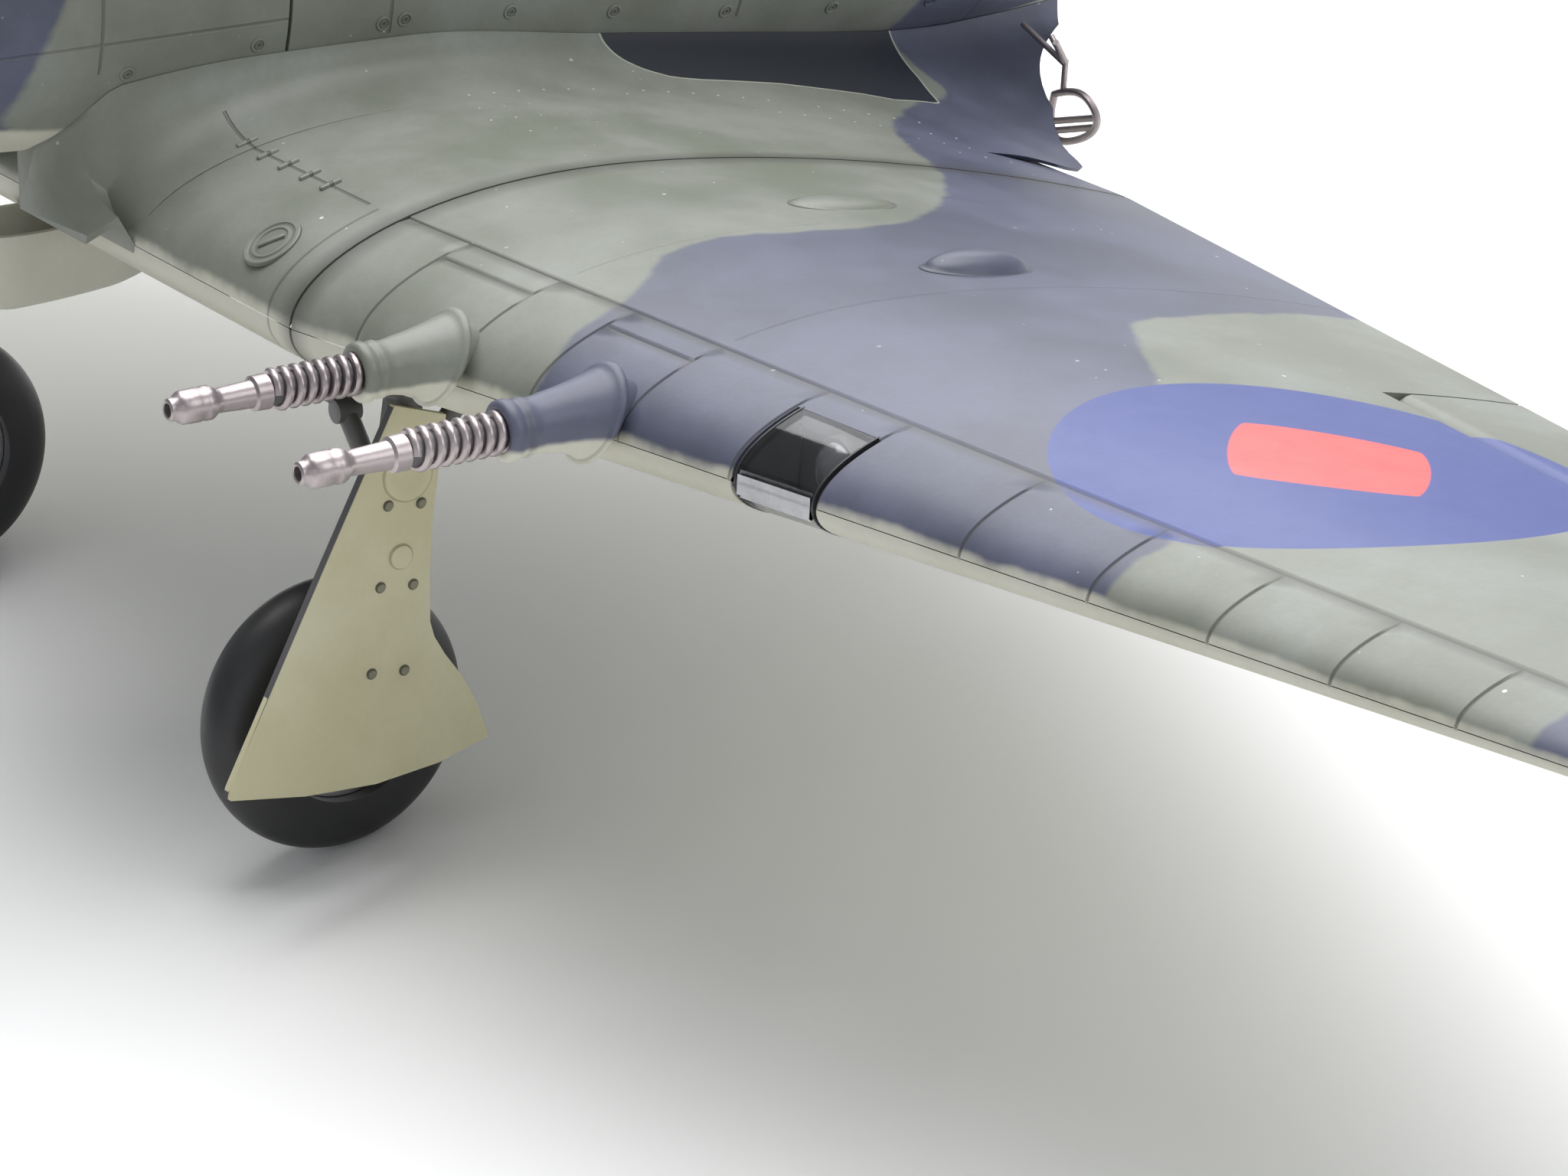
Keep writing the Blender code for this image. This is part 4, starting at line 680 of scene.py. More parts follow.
# --- Wing skins ----------------------------------------------------------------------------------
# Upper and lower moulded skins of the centre section and the two outer panels. Panel lines are
# pressed into them, the lower ones are cut for the wheel bays, flaps and landing lights.
RIBS = (49.9, 61.3, 70.2, 80.2, 91.9, 100.7, 114.3, 125.8, 136.0, 145.9, 155.6)
SPAR_AFT, SPAR_SWEEP = 9.9, math.tan(math.radians(2.67)) - LEADING_SWEEP
HATCH_AHEAD = 2.3                       # the gun bays' short lines run this far ahead of the spar's
LINE_HALF, LINE_DEPTH = 0.085, 0.13
AILERON_INNER, AILERON_OUTER, AILERON_HINGE = 107.0, 163.0, 0.81
FLAP_INNER, FLAP_OUTER, FLAP_FRONT, FLAP_BACK = 43.6, 104.6, 0.80, 0.96
LIGHT_INNER, LIGHT_OUTER, LIGHT_DEPTH = 92.4, 100.4, 0.09


def spar_aft(x):
    """Distance of the spar's panel line behind the leading edge."""
    return SPAR_AFT + np.maximum(0.0, np.abs(x) - JOINT_X) * SPAR_SWEEP


def line_share(distance):
    """1 in the bottom of a panel line, 0 on the skin beside it."""
    return np.clip((2.1 * LINE_HALF - np.abs(distance)) / (1.1 * LINE_HALF), 0.0, 1.0)


def panel_lines(points):
    """How deep each point of an outer panel lies in a panel line, from 0 to 1."""
    x = np.abs(points[:, 0])
    aft = points[:, 1] - wing_line(x)[0]
    spar = spar_aft(x)
    share = line_share(aft - spar) * (x < TIP_START)
    for rib in RIBS:
        share = np.maximum(share, line_share(x - rib) * (aft < spar))
    for inner, outer in ((RIBS[0], RIBS[1]), (RIBS[2], RIBS[3])):
        share = np.maximum(share, line_share(aft - spar + HATCH_AHEAD) * (x > inner) * (x < outer))
    return share


def skin_columns(low, high, step, lines=()):
    """Stations across a skin, with close ones on both sides of each panel line."""
    marks = [low, high]
    for line in lines:
        marks += [line + k * LINE_HALF for k in (-2.1, -1.0, 1.0, 2.1)]
    plain = [x for x in np.arange(low + step, high - step / 2, step)
             if all(abs(x - line) > 0.6 for line in lines)]
    return np.array(sorted(set(marks + plain)))


def aft_rows(x):
    """Distances behind the leading edge at one station, close together at the panel lines."""
    chord = wing_line(x)[1]
    spar = min(spar_aft(x), 0.3 * chord)
    front = spar - HATCH_AHEAD - 2.1 * LINE_HALF
    if front < 0.5:
        front = 0.3 * spar
    rows = [front * t for t in (0, .002, .01, .025, .05, .085, .13, .19, .27, .37, .49, .62, .76, .9)]
    hatch = max(spar - HATCH_AHEAD, front + 2.1 * LINE_HALF * 0.5)
    rows += [hatch - 2.1 * LINE_HALF, hatch - LINE_HALF, hatch + LINE_HALF, hatch + 2.1 * LINE_HALF]
    rows += [spar - 1.15, spar - 2.1 * LINE_HALF, spar - LINE_HALF, spar + LINE_HALF,
             spar + 2.1 * LINE_HALF]
    rest = spar + 2.1 * LINE_HALF
    rows += [rest + (chord - rest) * t for t in np.linspace(0, 1, 36)[1:]]
    return np.sort(np.clip(np.array(rows), 0.0, chord))


def skin_mesh(name, columns, side, lines=None, start=None, stop=None):
    """A closed skin with its panel lines pressed in, over stations and parts of the chord."""
    outer, inner = [], []
    for x in columns:
        chord = max(float(wing_line(x)[1]), 0.01)
        c = aft_rows(abs(x)) / chord
        if start is not None:
            c = np.linspace(start, stop, 14)
        skin = wing_surface(x, c, side)
        if lines is not None:
            pressed = wing_surface(x, c, side, -LINE_DEPTH)
            skin = skin + (pressed - skin) * lines(skin)[:, None]
        nose = min(1.3 * WALL / chord, 0.3) if start is None else 0.0
        tail = 0.02 if stop is None else 0.0
        c_in = c[0] + nose + (c - c[0]) * (c[-1] - c[0] - nose - tail) / (c[-1] - c[0])
        rise = half_height(x, c_in) - SEAM
        lift = SEAM + np.maximum(0.0, np.minimum(rise - WALL, 0.6 * rise))
        outer.append(skin)
        inner.append(wing_point(x, c_in, side * lift))
    rings = np.concatenate([np.array(outer), np.array(inner)[:, ::-1]], 1)
    return loft(name, rings)


def plan_cutter(name, inner, outer, front, back, side, ahead=lambda x: 0.0):
    """An upright block over part of the wing's plan, between two parts of the chord."""
    def corner(x, c, forward=0.0):
        leading, chord, _ = wing_line(x)
        return side * x, float(leading + c * chord - forward)
    outline = [corner(inner, front, ahead(inner)), corner(outer, front, ahead(outer)),
               corner(outer, back), corner(inner, back)]
    return prism(name, outline, -60.0, 30.0)


def wheel_bay(side):
    outline = [(0.3, 77.0), (6.0, 72.0), (30.0, 66.5), (42.0, 69.0), (44.4, 72.0),
               (44.4, 88.0), (40.0, 92.0), (22.0, 100.5), (6.0, 100.5), (0.3, 97.0)]
    return prism("wheel_bay", [(side * x, y) for x, y in outline], -40.0, -17.0)


def over_wing(points):
    """Distance ahead of the leading edge's paint line, for an upper skin."""
    return 2.6 * (0.1 - (points[:, 1] - wing_line(points[:, 0])[0]))


def under_wing(points):
    return 1.2 + 1.2 * (points[:, 1] - wing_line(points[:, 0])[0])


def joint_wash(points):
    """Dark edges along the seam between the centre section and the outer panels."""
    seam = np.clip(1.0 - (np.abs(np.abs(points[:, 0]) - JOINT_X) - 0.15) / 0.15, 0.0, 1.0)
    return seam


edge = JOINT_X - GAP / 2
centre_columns = skin_columns(-edge, edge, 2.2)
centre_top = skin_mesh("centre_upper_skin_painted", centre_columns, 1)
smooth(paint_layers(centre_top, over_wing, joint_wash))
settle(centre_top, "airframe", WING_TOP, "camouflage", "centre_upper_skin")
centre_low = skin_mesh("centre_lower_skin_painted", centre_columns, -1)
for hand in (1, -1):
    cut(centre_low, wheel_bay(hand))
smooth(paint_layers(centre_low, under_wing, joint_wash))
settle(centre_low, "airframe", AIRFRAME, "underside", "centre_lower_skin")

for hand, label in ((1, "left"), (-1, "right")):
    low, high = JOINT_X + GAP / 2, TIP_START
    columns = list(skin_columns(low, high, 2.2, RIBS))
    columns += [TIP_START + t * (HALF_SPAN - TIP_START)
                for t in (0.1, 0.2, 0.3, 0.4, 0.5, 0.6, 0.7, 0.78, 0.85, 0.9, 0.94, 0.97)]
    columns = [hand * x for x in columns]
    top = skin_mesh(f"outer_upper_skin_{label}_painted", columns, 1, panel_lines)
    low_skin = skin_mesh(f"outer_lower_skin_{label}_painted", columns, -1)
    aileron_bay = plan_cutter("aileron_bay", AILERON_INNER, AILERON_OUTER, AILERON_HINGE, 1.2, hand,
                              lambda x: float(half_height(x, AILERON_HINGE)) + GAP)
    light_bay = plan_cutter("light_bay", LIGHT_INNER - GAP, LIGHT_OUTER + GAP, -0.2, LIGHT_DEPTH,
                            hand)
    flap_bay = plan_cutter("flap_bay", FLAP_INNER - GAP, FLAP_OUTER + GAP, FLAP_FRONT - 0.006,
                           FLAP_BACK + 0.006, hand)
    for skin in (top, low_skin):
        cut(skin, aileron_bay, keep_tool=True)
        cut(skin, light_bay, keep_tool=True)
    for tool in (aileron_bay, light_bay):
        bpy.data.objects.remove(tool, do_unlink=True)
    cut(low_skin, flap_bay)
    cut(low_skin, wheel_bay(hand))
    smooth(paint_layers(top, over_wing, lambda p: np.maximum(panel_lines(p), joint_wash(p))))
    smooth(paint_layers(low_skin, under_wing, joint_wash))
    settle(top, "airframe", WING_TOP, "camouflage", f"outer_upper_skin_{label}")
    settle(low_skin, "airframe", AIRFRAME, "underside", f"outer_lower_skin_{label}")

    # The aileron: a solid surface with a round nose, hinged in the middle of that nose.
    rings = []
    for x in np.linspace(AILERON_INNER + GAP, AILERON_OUTER - GAP, 30):
        radius = float(half_height(x, AILERON_HINGE))
        axis = wing_point(hand * x, AILERON_HINGE, 0.0)
        nose = [axis + np.array((0, -radius * math.cos(a), radius * math.sin(a)))
                for a in np.radians(np.linspace(-80, 80, 11))]
        steps = np.linspace(AILERON_HINGE, 1.0, 10)
        rings.append(nose + list(wing_surface(hand * x, steps, 1))
                     + list(wing_surface(hand * x, steps[::-1], -1)))
    made = loft(f"aileron_{label}_painted", rings)
    points_under = (lambda p: np.where(p[:, 2] > wing_point(
        p[:, 0], (p[:, 1] - wing_line(p[:, 0])[0]) / wing_line(p[:, 0])[1], 0.0)[:, 2], -3.0, 3.0))
    smooth(paint_layers(made, points_under), 40)
    settle(made, f"aileron_{label}", WING_TOP, "camouflage", f"aileron_{label}")

    # The split flap: part of the lower skin, hinged along its front edge.
    made = skin_mesh(f"flap_{label}_painted",
                     [hand * x for x in np.linspace(FLAP_INNER, FLAP_OUTER, 30)], -1,
                     start=FLAP_FRONT, stop=FLAP_BACK)
    smooth(paint_layers(made, 5.0))
    settle(made, f"flap_{label}", AIRFRAME, "underside", f"flap_{label}")

# --- Fuselage and cowling ------------------------------------------------------------------------
# Two moulded shells of rounded section, the cowling ahead and the fuselage behind it, screwed
# together along the firewall. Openings for wing, cockpit and hatch are cut through them.
BODY = ((22.3, 11, 10.7, 11.3, 2.1, 2.1), (32, 12.4, 12.6, 13.6, 2.2, 2.2),
        (48, 13.6, 14.8, 16, 2.3, 2.3), (64, 14.2, 16, 17.2, 2.4, 2.4),
        (80, 14.7, 16.8, 18, 2.4, 2.4), (106, 15.3, 18.2, 19.2, 2.4, 2.4),
        (131, 15.0, 18.6, 19.6, 2.4, 2.4), (147, 14.2, 18.6, 19.6, 2.4, 2.4),
        (150, 13.7, 26.4, 19.5, 1.65, 2.4), (168, 12.9, 24.4, 18.2, 1.7, 2.4),
        (190, 11.4, 21.2, 15.3, 1.9, 2.3), (219, 8.4, 17, 10.5, 2, 2.2),
        (250, 5.4, 13.8, 6, 2, 2), (281, 2.6, 12, 1.5, 2, 2))


def eased(rows, at):
    """Values of a table at one station, by a smooth curve through its rows."""
    last = len(rows) - 2
    k = max(0, min(last, sum(1 for row in rows[1:] if row[0] <= at)))
    left, right = rows[k], rows[k + 1]
    width = right[0] - left[0]
    t = max(0.0, min(1.0, (at - left[0]) / width))
    values = []
    for column in range(1, len(left)):
        slope = (right[column] - left[column]) / width
        slopes = [slope, slope]
        if k > 0:
            before = (left[column] - rows[k - 1][column]) / (left[0] - rows[k - 1][0])
            slopes[0] = 0.0 if before * slope <= 0 else 2 * before * slope / (before + slope)
        if k < last:
            after = (rows[k + 2][column] - right[column]) / (rows[k + 2][0] - right[0])
            slopes[1] = 0.0 if after * slope <= 0 else 2 * after * slope / (after + slope)
        values.append((2 * t**3 - 3 * t**2 + 1) * left[column]
                      + (t**3 - 2 * t**2 + t) * width * slopes[0]
                      + (3 * t**2 - 2 * t**3) * right[column]
                      + (t**3 - t**2) * width * slopes[1])
    return values


def body_ring(y, grow=0.0, count=96):
    width, top, bottom, above, below = eased(BODY, y)
    a = np.linspace(0.0, 2 * math.pi, count, endpoint=False)
    across, up = np.cos(a), np.sin(a)
    power = np.where(up >= 0, 2 / above, 2 / below)
    reach = np.where(up >= 0, top, bottom)
    return np.stack([np.sign(across) * np.abs(across)**power * (width + grow), np.full(count, y),
                     np.sign(up) * np.abs(up)**power * (reach + grow)], -1)


def body_width_at(y, z):
    width, top, bottom, above, below = eased(BODY, y)
    reach, power = (top, above) if z >= 0 else (bottom, below)
    return width * (1 - min(1.0, abs(z) / reach)**power)**(1 / power)


def tube(name, outer, inner):
    """A shell between two runs of rings, open along its middle."""
    rings = np.array(list(outer) + list(inner)[::-1])
    rows, columns = rings.shape[:2]
    faces = grid_faces(rows, columns, round_trip=True)
    for k in range(columns):
        b, end = (k + 1) % columns, (rows - 1) * columns
        faces.append((end + k, end + b, b, k))
    made = mesh_piece(name, rings, faces)
    only(made)
    bpy.ops.object.mode_set(mode="EDIT")
    bpy.ops.mesh.select_all(action="SELECT")
    bpy.ops.mesh.normals_make_consistent(inside=False)
    bpy.ops.object.mode_set(mode="OBJECT")
    return made


def body_shell(name, front, back, step):
    stations = np.linspace(front, back, max(2, round((back - front) / step)) + 1)
    return tube(name, [body_ring(y) for y in stations], [body_ring(y, -WALL) for y in stations])


def body_under(points):
    """The pale underside's edge low on the fuselage's sides."""
    edge = np.interp(points[:, 1], (22, 40, 60, 100, 150, 168, 190, 219, 250, 281),
                     (-7.0, -10.0, -13.5, -18.0, -18.6, -15.5, -12.0, -7.5, -3.0, 0.5))
    return edge - points[:, 2]


def wing_root_cutter():
    rings = []
    for x in np.linspace(-24.0, 24.0, 9):
        c = np.array([0, .003, .012, .03, .06, .1, .16, .24, .34, .46, .6, .74, .88, 1.0])
        rings.append(np.concatenate([wing_surface(x, c[::-1], 1, 0.1),
                                     wing_surface(x, c[1:], -1, 0.1)]))
    return loft("wing_root_cutter", rings)


cowl = cut(body_shell("engine_cowl_painted", 22.3, 79.7, 2.4), wing_root_cutter())
smooth(paint_layers(cowl, body_under))
settle(cowl, "airframe", BODY_PAINT, "camouflage", "engine_cowl")

fuselage = cut(body_shell("fuselage_painted", 80.0, 281.0, 2.4), wing_root_cutter())
cut(fuselage, box("cockpit_opening", (-9.2, 104.0, 4.0), (9.2, 147.4, 40.0)))
cut(fuselage, box("hatch_opening", (-9.0, 82.5, 5.0), (9.0, 99.0, 30.0)))
smooth(paint_layers(fuselage, body_under))
settle(fuselage, "airframe", BODY_PAINT, "camouflage", "fuselage_shell")

# --- Battery hatch -------------------------------------------------------------------------------
# The curved cover between cowling and windscreen, hinged at its front edge, with a thumb catch.


def roof_patch(name, front, back, half):
    """Part of the fuselage's upper skin, between two stations."""
    rings = []
    for y in np.linspace(front, back, 18):
        width, top, _, above, _ = eased(BODY, y)
        x = np.linspace(-half, half, 33)
        skin = np.stack([x, np.full(33, y), top * (1 - np.abs(x / width)**above)**(1 / above)], -1)
        up = np.array((0.0, 0.0, 1.0))
        rings.append(np.concatenate([skin, (skin - WALL * up)[::-1]]))
    return loft(name, rings)


hatch = roof_patch("battery_hatch_painted", 82.8, 98.7, 8.7)
smooth(paint_layers(hatch, -9.0))
settle(hatch, "hatch", BODY_PAINT, "camouflage", "battery_hatch")
catch = box("hatch_catch", (-1.6, 94.6, 17.4), (1.6, 96.2, 18.35), 0.25)
smooth(paint_layers(catch, -9.0))
settle(catch, "hatch", BODY_PAINT, "camouflage")

# --- Root fillets --------------------------------------------------------------------------------
# The concave fairings that carry the fuselage's sides into the wing and run on behind it. Thin
# moulded skins, painted with the airframe, with a dark walkway up to the cockpit.
FILLET_SKINS = {}


def skin_tree(piece):
    """The piece's surface, for finding the height of a place on it."""
    data = piece.data
    return BVHTree.FromPolygons([v.co for v in data.vertices], [p.vertices for p in data.polygons])


FILLET = ((61, -15.5, 15.8, -20.5), (66, -10.2, 18.6, -17.0), (77, -9.3, 20.0, -13.6),
          (90, -9.4, 21.0, -12.8), (109, -12.0, 23.0, -13.6), (125, -14.5, 26.0, -16.8),
          (137, -16.6, 31.0, -20.6), (142, -17.4, 33.5, -22.6), (146, -17.8, 26.0, -23.0),
          (149.5, -17.9, 20.0, -22.2), (153.5, -17.9, 16.0, -20.6), (160, -17.4, 12.8, -18.8))
WALK_OUTLINE = np.array(((9.0, 108.2), (13.2, 108.6), (14.6, 109.6), (15.9, 111.2), (16.9, 113.3),
                         (17.0, 116.0), (16.6, 124.0), (16.9, 132.0), (17.8, 139.2),
                         (13.0, 140.4), (8.0, 140.4)))


def root_fillet(side, label):
    rings = []
    for y in np.linspace(61.0, 160.0, 100):
        top, reach, low = eased(FILLET, y)
        start = np.array((body_width_at(y, top) + 0.12, y, top))
        reach += max(0.0, (y - 150.0) / 10.0) * (start[0] + 0.3 - reach)
        leading, chord, _ = wing_line(reach)
        c = float((y - leading) / chord)
        end = np.array((reach, y, low - (0.9 if c > 1.0 else 0.0)))
        if 0.0 <= c <= 1.0:
            blend = max(0.0, (c - 0.93) / 0.07)
            end[2] = (1 - blend) * wing_surface(reach, c)[2] + blend * (low - 0.9)
        corner = np.array((start[0] + 0.12 * (end[0] - start[0]), y,
                           end[2] + 0.12 * (start[2] - end[2])))
        t = np.linspace(0.0, 1.0, 25)[:, None]
        arc = (1 - t)**2 * start + 2 * t * (1 - t) * corner + t**2 * end
        floor = 0.7 if c < 0.9 else 0.3
        under = np.array((end - (0.3, 0.0, floor), (start[0] - 3.0, y, end[2] - floor),
                          (start[0] - 3.0, y, start[2])))
        rings.append(np.concatenate([arc, under]) * (side, 1.0, 1.0))
    return loft(f"root_fillet_{label}_painted", rings)


def walk_share(points):
    return inside_distance(np.abs(points[:, :2]), WALK_OUTLINE)


for hand, label in ((1, "left"), (-1, "right")):
    made = root_fillet(hand, label)
    FILLET_SKINS[hand] = skin_tree(made)
    smooth(paint_layers(made, -5.0), 50)
    float_layer(made, "walk", walk_share(datum_points(made)))
    settle(made, "airframe", FILLET_PAINT, "camouflage", f"root_fillet_{label}")

# --- Skin details --------------------------------------------------------------------------------
# Screws along the cowling and the fillet, the bay covers' rivets, filler caps, hinge clips and
# blisters. Each is pressed or moulded on, and takes the skin's paint. The round ones are painted
# darker at their feet and in their hollows as shade.


def studs(name, spots, rows, sides=18, long=1.0):
    """Low round details: rings of (radius, lift, painted shade) round each spot and its normal."""
    points, faces, painted_shade = [], [], []
    for spot, normal in spots:
        normal = Vector(normal).normalized()
        along = (Vector((0.0, 1.0, 0.0)) - normal * normal.y).normalized()
        across = along.cross(normal)
        base = len(points)
        for radius, lift, shade in rows:
            for k in range(sides):
                a = 2 * math.pi * k / sides
                points.append(Vector(spot) + across * radius * math.cos(a)
                              + along * long * radius * math.sin(a) + normal * lift)
                painted_shade.append(shade)
        for r in range(len(rows) - 1):
            for k in range(sides):
                a, b = base + r * sides + k, base + r * sides + (k + 1) % sides
                faces.append((a, b, b + sides, a + sides))
        faces.append(tuple(base + (len(rows) - 1) * sides + k for k in range(sides)))
        faces.append(tuple(base + k for k in range(sides))[::-1])
    made = mesh_piece(name, points, faces)
    # The painted shade goes into the line layer, which darkens the feet and hollows of the details.
    float_layer(made, "line", painted_shade)
    return made


def body_spot(side, y, z):
    width = body_width_at(y, z)
    slope = (body_width_at(y, z + 0.2) - body_width_at(y, z - 0.2)) / 0.4
    taper = (body_width_at(y + 0.5, z) - body_width_at(y - 0.5, z)) / 1.0
    return (side * width, y, z), (side, -taper, -slope)


def top_spot(x, y, proud=0.0):
    """A place on the wing's top or the fillet's, whichever is higher, and its normal."""
    spots = []
    for a, b in ((0.0, 0.0), (0.4, 0.0), (0.0, 0.4)):
        spot = wing_spot(x + a, y + b)
        hit = FILLET_SKINS[1 if x > 0 else -1].ray_cast((x + a, y + b, 10.0), (0, 0, -1))[0]
        spots.append(hit if hit is not None and hit.z > spot.z else spot)
    normal = (spots[1] - spots[0]).cross(spots[2] - spots[0]).normalized()
    return spots[0] + normal * proud, normal


# Rows of (radius, lift, painted shade): a screw is painted dark at its foot, in its groove and in its
# socket as shade.
SCREW = ((0.68, -0.15, 0.9), (0.68, 0.02, 0.9), (0.60, 0.10, 0.0), (0.46, 0.10, 0.0),
         (0.40, 0.0, 0.8), (0.32, 0.0, 0.4), (0.28, 0.08, 0.1), (0.20, 0.08, 0.2),
         (0.17, 0.0, 1.0), (0.05, 0.0, 1.0))
SIDE_SCREWS = ((55, -5.2), (66.4, -9.3), (77.3, -8.4), (88.1, -8.1), (90, -8.0), (99.6, -8.7),
               (109.5, -10.1), (120.8, -11.8), (54.7, -11.7), (33, -4), (44, -4.6), (33, 6),
               (44, 6.5), (55, 7), (66, 7.2), (77.3, 7.4), (132, -13.2), (143, -14.4))
# A filler cap's rows: painted shade at its foot and in the grooves between its rims.
CAP = ((2.42, -0.2, 0.8), (2.40, 0.03, 0.8), (2.30, 0.10, 0.0), (2.02, 0.10, 0.0),
       (1.95, 0.02, 0.7), (1.72, 0.02, 0.5), (1.66, 0.10, 0.0), (1.42, 0.12, 0.0),
       (1.36, 0.03, 0.8), (1.24, 0.03, 0.3), (0.1, 0.06, 0.1))

for hand, label in ((1, "left"), (-1, "right")):
    made = studs(f"body_screws_{label}", [body_spot(hand, y, z) for y, z in SIDE_SCREWS], SCREW)
    settle(smooth(paint_layers(made, -5.0)), "airframe", BODY_PAINT, "camouflage")
    spot = top_spot(hand * 34.1, 66.9)
    cap = studs(f"fuel_cap_{label}", [spot], CAP, 40)
    settle(smooth(paint_layers(cap, -5.0)), "airframe", AIRFRAME, "camouflage")
    turn = spot[1].to_track_quat("Z", "Y").to_matrix().to_4x4()
    bar = box(f"fuel_cap_slot_{label}", (-1.15, -0.17, 0.05), (1.15, 0.17, 0.28), 0.1)
    bar.data.transform(Matrix.Translation(spot[0]) @ turn @ Matrix.Rotation(0.9 * hand, 4, "Z"))
    settle(smooth(paint_layers(bar, -5.0)), "airframe", AIRFRAME, "camouflage")
    clips = []
    for x in (18.6, 21.8, 25.0, 28.3, 31.4):
        spot, normal = top_spot(hand * x, 73.4)
        clip = box("clip", (-0.24, -0.95, -0.2), (0.24, 0.95, 0.2), 0.14)
        turn = Matrix((normal.cross(Vector((0, 1, 0))).normalized() * -1,
                       Vector((0, 1, 0)) - normal * normal.y, normal)).transposed().to_4x4()
        clip.data.transform(Matrix.Translation(spot) @ turn)
        clips.append(clip)
    clips = weld(f"bay_cover_clips_{label}", *clips)
    settle(smooth(paint_layers(clips, -5.0)), "airframe", AIRFRAME, "camouflage")
    for size, (x, y), wide, long, high in (("low", (56.0, 102.5), 2.0, 2.15, 0.5),
                                           ("tall", (74.6, 101.0), 2.2, 1.95, 1.3)):
        # The rows at the blister's foot are painted dark as its shadow line.
        rows = [(wide * 1.12, -0.2, 0.0), (wide * 1.1, 0.02, 0.75), (wide * 1.03, 0.02, 0.55)]
        rows += [(wide * s, high * (1 - s**2.6)**0.62, 0.0)
                 for s in (0.99, 0.96, 0.9, 0.82, 0.72, 0.6, 0.45, 0.3, 0.15, 0.03)]
        blister = studs(f"wing_blister_{size}_{label}", [top_spot(hand * x, y)], rows, 40, long)
        settle(smooth(paint_layers(blister, -5.0), 60), "airframe", AIRFRAME, "camouflage")
    dots = []
    for row, reach in enumerate((20.5, 24.0, 27.5, 31.5)):
        for k in range(20):
            y = 90.0 + 2.3 * k + 1.1 * (row % 2)
            if (3 * k + 5 * row) % 7 == 0:
                continue
            x = reach + 0.0025 * (y - 100.0)**2 - 0.8
            dots.append(top_spot(hand * x, y, -0.02))
    rivets = studs(f"walkway_rivets_{label}", dots, ((0.13, -0.1, 0), (0.12, 0.03, 0),
                                                     (0.05, 0.06, 0)), 8)
    settle(smooth(rivets), "airframe", RIVET, "camouflage")

# --- Guns ----------------------------------------------------------------------------------------
# Four dummy cannon barrels of bright steel with their recoil springs, each in a flared fairing
# moulded to the wing's leading edge. They carry no load and are glued in.
GUNS = (("inner", 60.5, 2.45, 19.7, 7.0), ("outer", 78.0, 2.15, 19.5, 7.7))
STEEL = plain_finish("gun_steel", (0.36, 0.315, 0.32), (0.52, 0.465, 0.46), 0.8, 1.0, 0.0, 0.85, 0.08)
DARK_STEEL = plain_finish("dark_steel", (0.10, 0.095, 0.10), (0.2, 0.19, 0.19), 0.6, 0.6, 0.0, 0.6)


def helix(start, end, turns, radius, wire_radius, centre):
    """A coil of round wire about the fore-and-aft line through centre."""
    count = int(turns * 18)
    points = []
    for k in range(count + 1):
        a = 2 * math.pi * turns * k / count
        points.append((centre[0] + radius * math.cos(a), start + (end - start) * k / count,
                       centre[2] + radius * math.sin(a)))
    return wire("coil", points, wire_radius, resolution=2, order=0)


